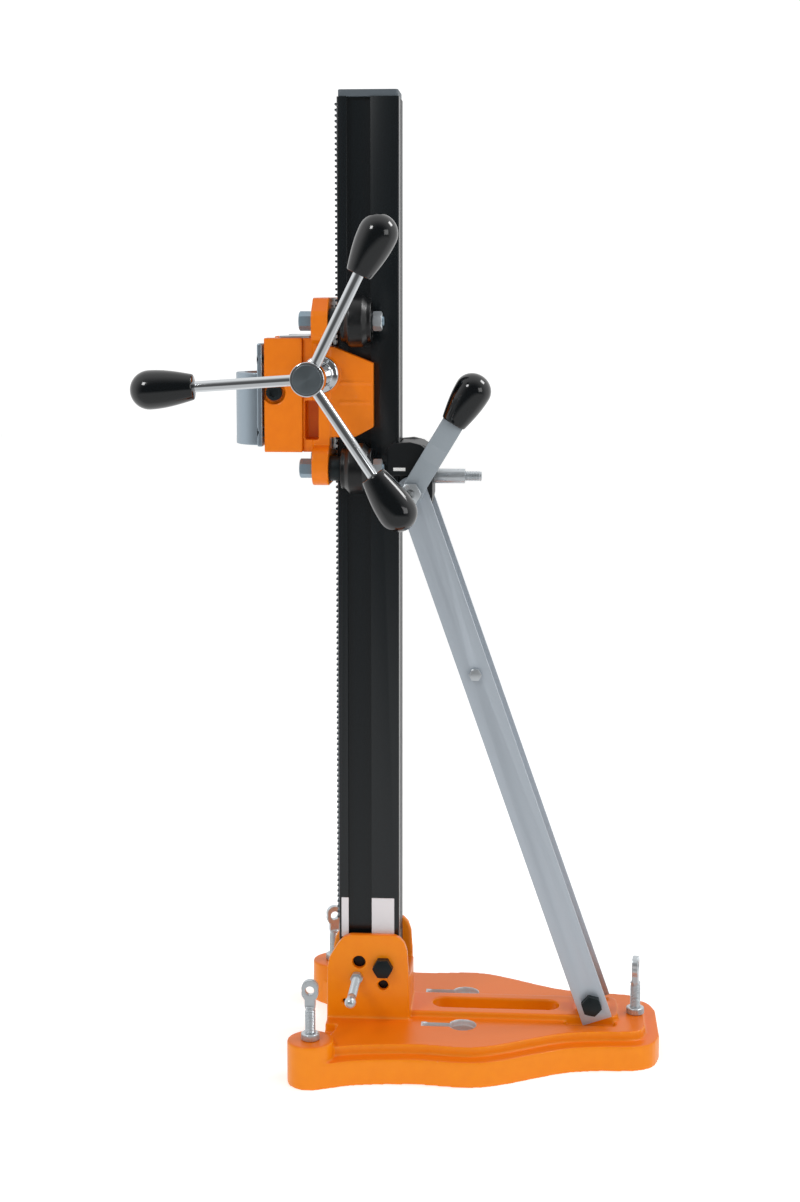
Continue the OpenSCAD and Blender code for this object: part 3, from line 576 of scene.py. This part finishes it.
CASTINGS = {               # cube size in mm, times relaxed, share of faces kept
    "base_plate": (1.6, 3, 0.42),
    "carriage_frame": (1.1, 2, 0.36),
    "motor_block": (1.1, 3, 0.35),
    "slider_block": (0.9, 2, 0.4),
    "clamp_cap": (1.1, 2, 0.5),
    "column_foot": (1.3, 2, 0.3),
}
for node, sizes in CASTINGS.items():
    mesh = reskinned(node, *sizes)
    finish = {"clamp_cap": "clamp_metal", "base_plate": "base_orange"}.get(node)
    finished(node + "_casting", mesh, [node], finish, smooth_angle=60)
    print(node, "has", len(mesh.polygons), "faces")

# %% [markdown]
# ## Extrusion, bars and plates
# The column is an extrusion and the strut bars, the lever and the cover are cut from stock, so
# they keep crisp edges with only a small chamfer.

# %% Stock parts
STOCK = {                  # chamfer in mm
    "column_profile": 0.7, "column_cap": 0.9, "strut_bar_left": 0.6, "strut_bar_right": 0.6,
    "lock_lever": 0.9, "block_cover": 0.5, "block_screws": 0.4, "clamp_bolts": 0.3,
    "neck_screws": 0.5, "pinion_shaft": 0.3, "shaft_collar": 0.8, "bearing_left": 0.5,
    "bearing_right": 0.5, "slider_sleeve": 0.8,
}
for node, width_mm in STOCK.items():
    finish = "blasted_plate" if node == "lock_lever" else None
    finished(node + "_part", chamfered(node, width_mm), [node], finish)
print(len(STOCK), "parts with crisp chamfers")

# %% [markdown]
# ## Turned parts
# Grips, rollers, the hub and the arms all come off a lathe. Their outline is a list of radius
# and height, in millimetres, whose corners are softened, and it is spun round into a closed skin.
# The skin is made along +Z and then laid where the CAD part is.

# %% Lathe
def soften(points, radius, steps=4):
    """Rounds every corner of an open outline except its two ends."""
    out = [tuple(points[0])]
    for before, here, after in zip(points, points[1:], points[2:]):
        a, b, c = Vector(before), Vector(here), Vector(after)
        r = min(radius, (a - b).length * 0.45, (c - b).length * 0.45)
        start, end = b + (a - b).normalized() * r, b + (c - b).normalized() * r
        for k in range(steps + 1):
            t = k / steps
            out.append(tuple(start.lerp(b, t).lerp(b.lerp(end, t), t)))
    return out + [tuple(points[-1])]


def lathe(outline, sides=56):
    """Spins (radius, height) points round Z. An outline that starts and ends on the axis is closed."""
    bm = bmesh.new()
    rings = []
    for radius, height in outline:
        count = sides if radius > 1e-6 else 1
        turns = [2 * math.pi * i / count for i in range(count)]
        rings.append([bm.verts.new((radius * MM * math.cos(t), radius * MM * math.sin(t), height * MM))
                      for t in turns])
    for low, high in zip(rings, rings[1:]):
        for i in range(sides):
            j = i + 1
            corners = [low[i % len(low)], low[j % len(low)], high[j % len(high)], high[i % len(high)]]
            corners = list(dict.fromkeys(corners))
            if len(corners) > 2:
                bm.faces.new(corners)
    return to_mesh(bm)


def laid(mesh, at, axis, turn=0.0):
    """Turns +Z to the axis, and moves the origin to at."""
    tilt = Vector(axis).to_track_quat("Z", "Y").to_matrix().to_4x4()
    mesh.transform(Matrix.Translation(at) @ tilt @ Matrix.Rotation(turn, 4, "Z"))
    return mesh


print("a corner softened in 4 steps has", len(soften([(0, 0), (5, 0), (5, 5)], 1)) - 2, "points")

# %% [markdown]
# ## Grips, arms and knob
# The three grips are alike: a slim neck that swells to a round end that fits the palm. The
# outline follows part of a sine curve and closes with an ellipse. The lever's knob is the same
# shape, a little shorter and fuller at the neck.

# %% Grips
def grip_outline(start, end, neck_r, full_r, dome):
    """From a flat neck at start to a rounded end, all in mm from the pivot."""
    swell_start, swell_end = start + 1.6, end - dome
    swell = [(neck_r + (full_r - neck_r) * math.sin(math.pi / 2 * k / 10),
              swell_start + (swell_end - swell_start) * k / 10) for k in range(11)]
    cap = [(full_r * math.cos(math.pi / 2 * k / 10), swell_end + dome * math.sin(math.pi / 2 * k / 10))
           for k in range(1, 10)]
    return [(0, start), (neck_r - 1.6, start), (neck_r - 0.5, start + 0.5)] + swell + cap + [(0, end)]


ARM_R, ARM_START, ARM_END = 6, 9, 143          # in mm, from the shaft's axis
GRIP_START, GRIP_END = 122, 190
hub_centre = Vector((hub_axis.x, middle("arm_a").y, hub_axis.z))
for letter in "abc":
    outwards = (middle("arm_" + letter) - hub_centre).normalized()
    arm_outline = [(0, ARM_START), (ARM_R, ARM_START), (ARM_R, ARM_END), (0, ARM_END)]
    arm = lathe(soften(arm_outline, 0.5), sides=40)
    finished("arm_%s_rod" % letter, laid(arm, hub_centre, outwards), ["arm_" + letter])
    grip = laid(lathe(grip_outline(GRIP_START, GRIP_END, 14, 21, 21)), hub_centre, outwards)
    finished("grip_%s_turned" % letter, grip, ["grip_" + letter], smooth_angle=50)

LEVER_LEAN = math.radians(31)
lever_up = Vector((math.sin(LEVER_LEAN), 0, math.cos(LEVER_LEAN)))
knob_at = Vector((strut_top.x, middle("lock_lever_knob").y, strut_top.z))
knob = lathe(grip_outline(93, 155, 14.5, 20.5, 19))
finished("lever_knob", laid(knob, knob_at, lever_up), ["lock_lever_knob"], smooth_angle=50)
print("grips reach", GRIP_END, "mm from the shaft")

# %% [markdown]
# ## Hub
# The hub is turned from one bar: a fat front end that holds the arms, a slimmer neck, and a
# collar beside the carriage. A dark faced disc closes its front.

# %% Hub
hub_low, hub_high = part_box("handle_hub")
length = (hub_high.y - hub_low.y) / MM
hub_outline = [(0, 0.6), (15.4, 0.6), (15.6, 0), (18.4, 0), (18.4, 24.5), (13.5, 27),
               (13.5, length - 19.5), (21, length - 17), (21, length), (0, length)]
hub = laid(lathe(soften(hub_outline, 2.2)), (hub_axis.x, hub_low.y, hub_axis.z), (0, 1, 0))
finished("hub_turned", hub, ["handle_hub"])
disc = lathe(soften([(0, 0), (15.5, 0), (15.5, 3), (0, 3)], 0.6))
disc_at = (hub_axis.x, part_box("hub_disc")[0].y, hub_axis.z)
finished("hub_end_disc", laid(disc, disc_at, (0, 1, 0)), ["hub_disc"], "turned_disc")
print("hub is", round(length), "mm long")

# %% [markdown]
# ## Repeating with Geometry Nodes
# Rack teeth, roller ribs and knurls are one small shape repeated by a rule. Three little trees
# do that: copies in a row, copies round an axis, and a ridge that winds round a rod as a
# thread. Each ends in Realize Instances and Set Material, and its result becomes a plain mesh.

# %% Trees that repeat
def new_tree(name, inputs):
    """An empty modifier tree with named inputs. Returns it with its input and output nodes."""
    tree = bpy.data.node_groups.new(name, "GeometryNodeTree")
    tree.is_modifier = True
    tree.interface.new_socket("Geometry", in_out="INPUT", socket_type="NodeSocketGeometry")
    for socket_name, kind in inputs.items():
        tree.interface.new_socket(socket_name, in_out="INPUT", socket_type="NodeSocket" + kind)
    tree.interface.new_socket("Material", in_out="INPUT", socket_type="NodeSocketMaterial")
    tree.interface.new_socket("Geometry", in_out="OUTPUT", socket_type="NodeSocketGeometry")
    return tree, add(tree, "NodeGroupInput"), add(tree, "NodeGroupOutput")


def close_tree(tree, start, end, geometry):
    """Ends a tree: its copies become real mesh and take the Material input."""
    solid = add(tree, "GeometryNodeRealizeInstances", {0: geometry})
    coated = add(tree, "GeometryNodeSetMaterial",
                 {"Geometry": solid.outputs[0], "Material": start.outputs["Material"]})
    tree.links.new(coated.outputs[0], end.inputs[0])


row_tree, start, end = new_tree("copies_in_a_row", {"Count": "Int", "Step": "Vector"})
row = add(row_tree, "GeometryNodeMeshLine",
          {"Count": start.outputs["Count"], "Offset": start.outputs["Step"]})
copies = add(row_tree, "GeometryNodeInstanceOnPoints",
             {"Points": row.outputs[0], "Instance": start.outputs["Geometry"]})
close_tree(row_tree, start, end, copies.outputs[0])

ring_tree, start, end = new_tree("copies_round_an_axis", {"Count": "Int"})
points = add(ring_tree, "GeometryNodePoints", {"Count": start.outputs["Count"]})
copies = add(ring_tree, "GeometryNodeInstanceOnPoints",
             {"Points": points.outputs[0], "Instance": start.outputs["Geometry"]})
step = add(ring_tree, "ShaderNodeMath", {0: 2 * math.pi, 1: start.outputs["Count"]}, operation="DIVIDE")
number = add(ring_tree, "GeometryNodeInputIndex").outputs[0]
angle = add(ring_tree, "ShaderNodeMath", {0: number, 1: step.outputs[0]}, operation="MULTIPLY")
turn = add(ring_tree, "ShaderNodeCombineXYZ", {"Z": angle.outputs[0]})
spun = add(ring_tree, "GeometryNodeRotateInstances",
           {"Instances": copies.outputs[0], "Rotation": turn.outputs[0]})
close_tree(ring_tree, start, end, spun.outputs[0])

thread_tree, start, end = new_tree("screw_thread", {"Radius": "Float", "Ridge": "Float",
                                                    "Pitch": "Float", "Length": "Float"})
given = start.outputs
turns = add(thread_tree, "ShaderNodeMath", {0: given["Length"], 1: given["Pitch"]}, operation="DIVIDE")
winding = add(thread_tree, "GeometryNodeCurveSpiral",
              {"Resolution": 20, "Rotations": turns.outputs[0], "Start Radius": given["Radius"],
               "End Radius": given["Radius"], "Height": given["Length"]})
level = add(thread_tree, "GeometryNodeSetCurveNormal", {0: winding.outputs[0]}, mode="Z_UP")
ridge = add(thread_tree, "GeometryNodeCurvePrimitiveCircle", {"Resolution": 4, "Radius": given["Ridge"]})
wound = add(thread_tree, "GeometryNodeCurveToMesh",
            {"Curve": level.outputs[0], "Profile Curve": ridge.outputs[0], "Fill Caps": True})
close_tree(thread_tree, start, end, wound.outputs[0])


def grown(tree, values, seed_mesh=None):
    """Runs a tree once and returns what it makes as a plain mesh."""
    holder = bpy.data.objects.new("holder", seed_mesh or bpy.data.meshes.new("seed"))
    scene.collection.objects.link(holder)
    modifier = holder.modifiers.new(tree.name, "NODES")
    modifier.node_group = tree
    for item in tree.interface.items_tree:
        if item.in_out == "INPUT" and item.name in values:
            modifier[item.identifier] = values[item.name]
    mesh = bpy.data.meshes.new_from_object(holder.evaluated_get(bpy.context.evaluated_depsgraph_get()))
    bpy.data.objects.remove(holder)
    return mesh


THREAD_DEPTH = 0.45                  # in mm, half of how far the ridge stands out of its core


def thread(outer_r, pitch_mm, length_mm, material):
    """A thread's ridge, standing on Z = 0, whose crest is outer_r mm from the axis."""
    return grown(thread_tree, {"Radius": (outer_r - THREAD_DEPTH) * MM, "Ridge": THREAD_DEPTH * MM,
                               "Pitch": pitch_mm * MM, "Length": length_mm * MM, "Material": material})


print("trees:", row_tree.name, ring_tree.name, thread_tree.name)

# %% [markdown]
# ## Rack
# The rack is a steel strip with straight teeth, cut to module 2, so a tooth comes every
# 6.28 mm. One tooth is drawn with its slanting flanks and repeated in a row up the strip.

# %% Rack teeth
def add_block(bm, at, size):
    """Adds a box with its middle at one place, both in mm."""
    bmesh.ops.create_cube(bm, size=1, matrix=Matrix.LocRotScale(at * MM, None, size * MM))


rack_low, rack_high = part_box("rack")
PITCH = 2 * math.pi * MM
tooth_count = round((rack_high.z - rack_low.z) / PITCH)
tip, root = rack_low.x, rack_low.x + 3.8 * MM
eased = tip + 0.3 * MM               # the tip's corners are eased off here
# Each corner of a tooth: its place in x, and its height as a share of the pitch.
tooth_side = [(root, -0.3), (eased, -0.165), (tip, -0.14), (tip, 0.14), (eased, 0.165), (root, 0.3)]
bm = bmesh.new()
faces = [[bm.verts.new((x, y, rack_low.z + (0.5 + z) * PITCH)) for x, z in tooth_side]
         for y in (rack_low.y, rack_high.y)]
bm.faces.new(faces[0])
bm.faces.new(faces[1])
for i in range(len(tooth_side)):
    j = (i + 1) % len(tooth_side)
    bm.faces.new([faces[0][i], faces[0][j], faces[1][j], faces[1][i]])
teeth = grown(row_tree, {"Count": tooth_count, "Step": (0, 0, PITCH),
                         "Material": finishes["bright_steel"]}, to_mesh(bm))
strip_low = Vector((root - 0.2 * MM, rack_low.y, rack_low.z))
bm = bmesh.new()
add_block(bm, (strip_low + rack_high) / 2 / MM, (rack_high - strip_low) / MM)
finished("toothed_rack", joined([to_mesh(bm), teeth]), ["rack"], "rack_steel")
print("rack has", tooth_count, "teeth")

# %% [markdown]
# ## Guide rollers
# Each roller is moulded nylon. A raised crown runs in the column's groove and two shoulders run
# on its face. The flat ends are hollowed to save plastic, with ribs from the bore to the rim.

# %% Rollers
RIBS = 8
ROLLERS = ["roller_%s_%s" % (level, side) for level in ("upper", "lower") for side in ("left", "right")]
roller_low, roller_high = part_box(ROLLERS[0])
wide = (roller_high.x - roller_low.x) / MM
crown_at = wide / 2
crown = [(10.1, 0), (13, 0), (13, 3.5), (20, 3.5), (20.4, 0), (23, 0), (23, crown_at - 12.5),
         (29, crown_at - 7.5), (29, crown_at + 7.5), (23, crown_at + 12.5), (23, wide), (20.4, wide),
         (20, wide - 3.5), (13, wide - 3.5), (13, wide), (10.1, wide)]
rib_bm = bmesh.new()
for z in (1.9, wide - 1.9):
    add_block(rib_bm, Vector((16.5, 0, z)), Vector((8, 2, 3.4)))
rib_mesh = to_mesh(rib_bm)
for node in ROLLERS:
    axle = middle(node)
    shell = lathe(soften(crown, 1.4, 3) + [(10.1, 0)], sides=64)
    ribs = grown(ring_tree, {"Count": RIBS, "Material": finishes["black_nylon"]}, rib_mesh.copy())
    both = laid(joined([shell, ribs]), (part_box(node)[0].x, axle.y, axle.z), (1, 0, 0))
    finished(node + "_moulded", both, [node], smooth_angle=40)
print(len(ROLLERS), "rollers,", round(wide), "mm wide, with", RIBS, "ribs on each end")

# %% [markdown]
# ## Hexagon bolts and nuts
# A hexagon head is turned to a cone before its flats are cut, which leaves the curved edges that
# every real nut has. Here each corner of a ring drops by how far it stands out past the flats.

# %% Hexagons
def hexagon(flats, height):
    """A chamfered hexagon from Z = 0 up to height, in mm."""
    sides = 48
    face_r = 0.475 * flats               # the flat end is a little smaller than the flats
    bm = bmesh.new()
    rings = [[], [], []]
    for i in range(sides):
        angle = 2 * math.pi * i / sides
        corner = flats / 2 / math.cos((angle % (math.pi / 3)) - math.pi / 6)
        drop = max(0.0, corner - face_r) * math.tan(math.radians(30))
        for ring, (r, z) in zip(rings, ((corner, 0), (corner, height - drop), (face_r, height))):
            ring.append(bm.verts.new((r * MM * math.cos(angle), r * MM * math.sin(angle), z * MM)))
    for low, high in zip(rings, rings[1:]):
        for i in range(sides):
            bm.faces.new([low[i], low[(i + 1) % sides], high[(i + 1) % sides], high[i]])
    bm.faces.new(rings[0])
    bm.faces.new(rings[-1])
    return to_mesh(bm)


def rod(radius, start, end):
    """A plain round rod along +Z with softened ends, in mm."""
    return lathe(soften([(0, start), (radius, start), (radius, end), (0, end)], 0.8, 2), sides=32)


COARSE = 1.75                        # the usual thread pitch of a 12 mm screw, in mm


def bolt(flats, head, shank_r, length, threaded, finish, turn=0.0):
    """A bolt along +Z: its head below Z = 0, and a thread on the last stretch of its shank."""
    top = hexagon(flats, head)
    top.transform(Matrix.Rotation(turn, 4, "Z") @ Matrix.Rotation(math.pi, 4, "X"))
    ridge = thread(shank_r, COARSE, threaded - 2, finishes[finish])
    ridge.transform(Matrix.Translation((0, 0, (length - threaded + 0.6) * MM)))
    return joined([top, rod(shank_r, -0.5, length - threaded),
                   rod(shank_r - 0.8, length - threaded - 1, length), ridge])


def nut(flats, height, start=0.0):
    """A nut along +Z with both faces chamfered."""
    halves = [hexagon(flats, height / 2) for _ in range(2)]
    halves[0].transform(Matrix.Rotation(math.pi, 4, "X"))
    both = joined(halves)
    both.transform(Matrix.Translation((0, 0, (start + height / 2) * MM)))
    return both


print("a 20 mm hexagon is", round(20 / math.cos(math.pi / 6), 1), "mm across its corners")

# %% [markdown]
# ## Bolts across the rig
# The column tilts on one bolt and the strut turns on two, and a cross bolt ties its two bars. They
# all lie across the rig, along Y, so each is made along +Z and laid from one end of its CAD node.
# The strut's foot bolt also carries the two tubes that keep the bars apart.

# %% Bolts across the rig
ACROSS = (0, 1, 0)
low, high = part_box("tilt_bolt")
tilt_at = Vector(((low.x + high.x) / 2, low.y, (low.z + high.z) / 2))
tilt = bolt(20.5, 10, 8, (high.y - low.y) / MM - 10, 24, "black_steel")
finished("tilt_bolt_hex", laid(tilt, tilt_at + Vector((0, 10, 0)) * MM, ACROSS), ["tilt_bolt"])
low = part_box("tilt_nut")[0]
finished("tilt_nut_hex", laid(nut(24, 13), (tilt_at.x, low.y, tilt_at.z), ACROSS), ["tilt_nut"])

low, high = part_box("strut_foot_bolt")
foot_at = Vector((strut_foot.x, low.y, strut_foot.z))
foot = [bolt(21, 9, 7, (high.y - low.y) / MM - 9, 24, "black_steel", math.radians(12))]
for near in (33.4, 79.4):            # spacer tubes between the lug and the bars
    foot.append(rod(10.5, near - 18.4 - 9, near - 9))
foot = laid(joined(foot), foot_at + Vector((0, 9, 0)) * MM, ACROSS)
finished("strut_foot_bolt_hex", foot, ["strut_foot_bolt"])
foot_nut_at = (strut_foot.x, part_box("strut_foot_nut")[0].y, strut_foot.z)
finished("strut_foot_nut_hex", laid(nut(21, 11), foot_nut_at, ACROSS), ["strut_foot_nut"])

low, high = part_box("strut_pivot_bolt")
pivot = bolt(22, 8, 7, (high.y - low.y) / MM - 9, 24, "bright_steel")
pivot = laid(pivot, (strut_top.x, high.y - 9 * MM, strut_top.z), (0, -1, 0))
finished("strut_pivot_bolt_hex", pivot, ["strut_pivot_bolt"])
pivot_nut = joined([nut(22, 7.6), rod(12, 16.4, 20.6)])        # the nut, and a washer further in
pivot_nut = laid(pivot_nut, (strut_top.x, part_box("strut_pivot_nuts")[0].y, strut_top.z), ACROSS)
finished("strut_pivot_nut_hex", pivot_nut, ["strut_pivot_nuts"])

low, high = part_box("strut_spacer")
spacer_at = (low + high) / 2
wide_y = (high.y - low.y) / MM
spacer = joined([nut(13, 5.5), nut(13, 5.5, wide_y - 5.5), rod(5, 1, wide_y - 1),
                 rod(8, 11.5, wide_y - 11.5)])
finished("strut_spacer_bolt", laid(spacer, (spacer_at.x, low.y, spacer_at.z), ACROSS), ["strut_spacer"])
print("strut bars are tied", round(wide_y), "mm across")

# %% [markdown]
# ## Roller axles
# A bolt from the front of the carriage plate carries each roller, and a nut holds it behind. The
# four places come from the rollers themselves.

# %% Roller axles
FLAT_UP = math.radians(30)
low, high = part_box("roller_axles")
nut_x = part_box("roller_nuts")[0].x
bush_low, bush_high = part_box("roller_bushes")
bush_len = (bush_high.x - bush_low.x) / MM
axle_parts, nut_parts, bush_parts = [], [], []
for node in ROLLERS:
    at = middle(node)
    axle = bolt(19, 15, 6, (high.x - low.x) / MM - 15, 16, "blued_steel", FLAT_UP)
    axle_parts.append(laid(axle, (low.x + 15 * MM, at.y, at.z), (1, 0, 0)))
    nut_parts.append(laid(nut(19, 10.5), (nut_x, at.y, at.z), (1, 0, 0), FLAT_UP))
    bush = joined([rod(10, 0, bush_len), rod(14, 0, 13.6)])
    bush_parts.append(laid(bush, (bush_low.x, at.y, at.z), (1, 0, 0)))
finished("roller_axle_bolts", joined(axle_parts), ["roller_axles"])
finished("roller_axle_nuts", joined(nut_parts), ["roller_nuts"])
finished("roller_axle_bushes", joined(bush_parts), ["roller_bushes"])
print(len(axle_parts), "roller axles")

# %% [markdown]
# ## Levelling screws
# Three forged eye screws level the base. The eye is the CAD shape skinned again, as on the
# castings, and its shank is drawn in so that a real thread can wind round it. Knurled ring nuts
# lock them, and a swivelling tip under each takes the floor.

# %% Levelling screws
KNURLS = 36
EYE_HEIGHT = 33 * MM                 # below the eye, the shank is drawn in
DRAWN_IN = 0.87                      # to this share of its radius
knurl_bm = bmesh.new()
add_block(knurl_bm, Vector((10.0, 0, 4)), Vector((0.9, 0.8, 6)))
knurl = to_mesh(knurl_bm)
locknut_low, locknut_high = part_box("level_locknuts")
ring_nuts = []
for name in ("left", "right", "rear"):
    screw_low, screw_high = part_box("level_screw_" + name)
    foot_low, foot_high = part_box("level_foot_" + name)
    at = (foot_low + foot_high) / 2
    eye = reskinned("level_screw_" + name, 0.7, 2)
    shank_top = screw_high.z - EYE_HEIGHT
    for vertex in eye.vertices:
        if vertex.co.z < shank_top:
            vertex.co.x = at.x + (vertex.co.x - at.x) * DRAWN_IN
            vertex.co.y = at.y + (vertex.co.y - at.y) * DRAWN_IN
    ridge = thread(6, COARSE, (shank_top - screw_low.z) / MM - 4, finishes["bright_steel"])
    ridge = laid(ridge, (at.x, at.y, screw_low.z + 2 * MM), (0, 0, 1))
    finished("level_screw_%s_forged" % name, joined([eye, ridge]), ["level_screw_" + name])
    tip_outline = [(0, 0), (7, 0), (7, 4.6), (2.5, 5), (2.5, 13), (0, 13)]
    tip_mesh = laid(lathe(soften(tip_outline, 0.7, 2), sides=32), (at.x, at.y, foot_low.z), (0, 0, 1))
    finished("level_foot_%s_tip" % name, tip_mesh, ["level_foot_" + name])
    seat = locknut_low.z if name == "rear" else locknut_high.z - 8 * MM
    nut_outline = [(6.1, 0), (9, 0), (10, 1), (10, 7), (9, 8), (6.1, 8)]
    body = lathe(soften(nut_outline, 0.5, 2) + [(6.1, 0)], sides=40)
    knurls = grown(ring_tree, {"Count": KNURLS, "Material": finishes["bright_steel"]}, knurl.copy())
    ring_nuts.append(laid(joined([body, knurls]), (at.x, at.y, seat), (0, 0, 1)))
finished("level_ring_nuts", joined(ring_nuts), ["level_locknuts"])
print(len(ring_nuts), "levelling screws with", KNURLS, "knurls on each ring nut")

# %% [markdown]
# ## Studs
# The slider's stud clamps the strut to the column. It has a turned sleeve, and its end is
# threaded. The tilt clamp screw has a hexagon, a threaded shank and a round end for the fingers.

# %% Studs
low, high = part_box("slider_stud")
at = Vector((low.x, 0, (low.z + high.z) / 2))
stud_len = (high.x - low.x) / MM
head_bm = bmesh.new()
add_block(head_bm, Vector((0, 0, 3.25)), Vector((23, 23, 6.5)))
stud = [to_mesh(head_bm), rod(6, 6, stud_len - 20), rod(5.2, stud_len - 21, stud_len)]
ridge = thread(6, COARSE, 18, finishes["bright_steel"])
ridge.transform(Matrix.Translation((0, 0, (stud_len - 19.6) * MM)))
finished("slider_stud_threaded", laid(joined(stud + [ridge]), at, (1, 0, 0)), ["slider_stud"])

low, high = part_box("tilt_clamp_screw")
at = middle("tilt_clamp_screw")
clamp_len = (high.y - low.y) / MM
BALL_R = 6.5
ball_outline = [(BALL_R * math.sin(math.pi * k / 16), BALL_R - BALL_R * math.cos(math.pi * k / 16))
                for k in range(17)]
parts = [lathe(ball_outline, sides=32), thread(5, 1.5, clamp_len - 42, finishes["bright_steel"])]
parts[1].transform(Matrix.Translation((0, 0, 22 * MM)))
parts += [rod(4.2, 10, clamp_len), rod(5, 9, 22), nut(13, 7.6, clamp_len - 16.9)]
clamp = laid(joined(parts), (at.x, low.y, at.z), ACROSS)
finished("tilt_clamp_screw_turned", clamp, ["tilt_clamp_screw"])
print("stud", round(stud_len), "mm and clamp screw", round(clamp_len), "mm long")

# %% Finish
low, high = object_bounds()
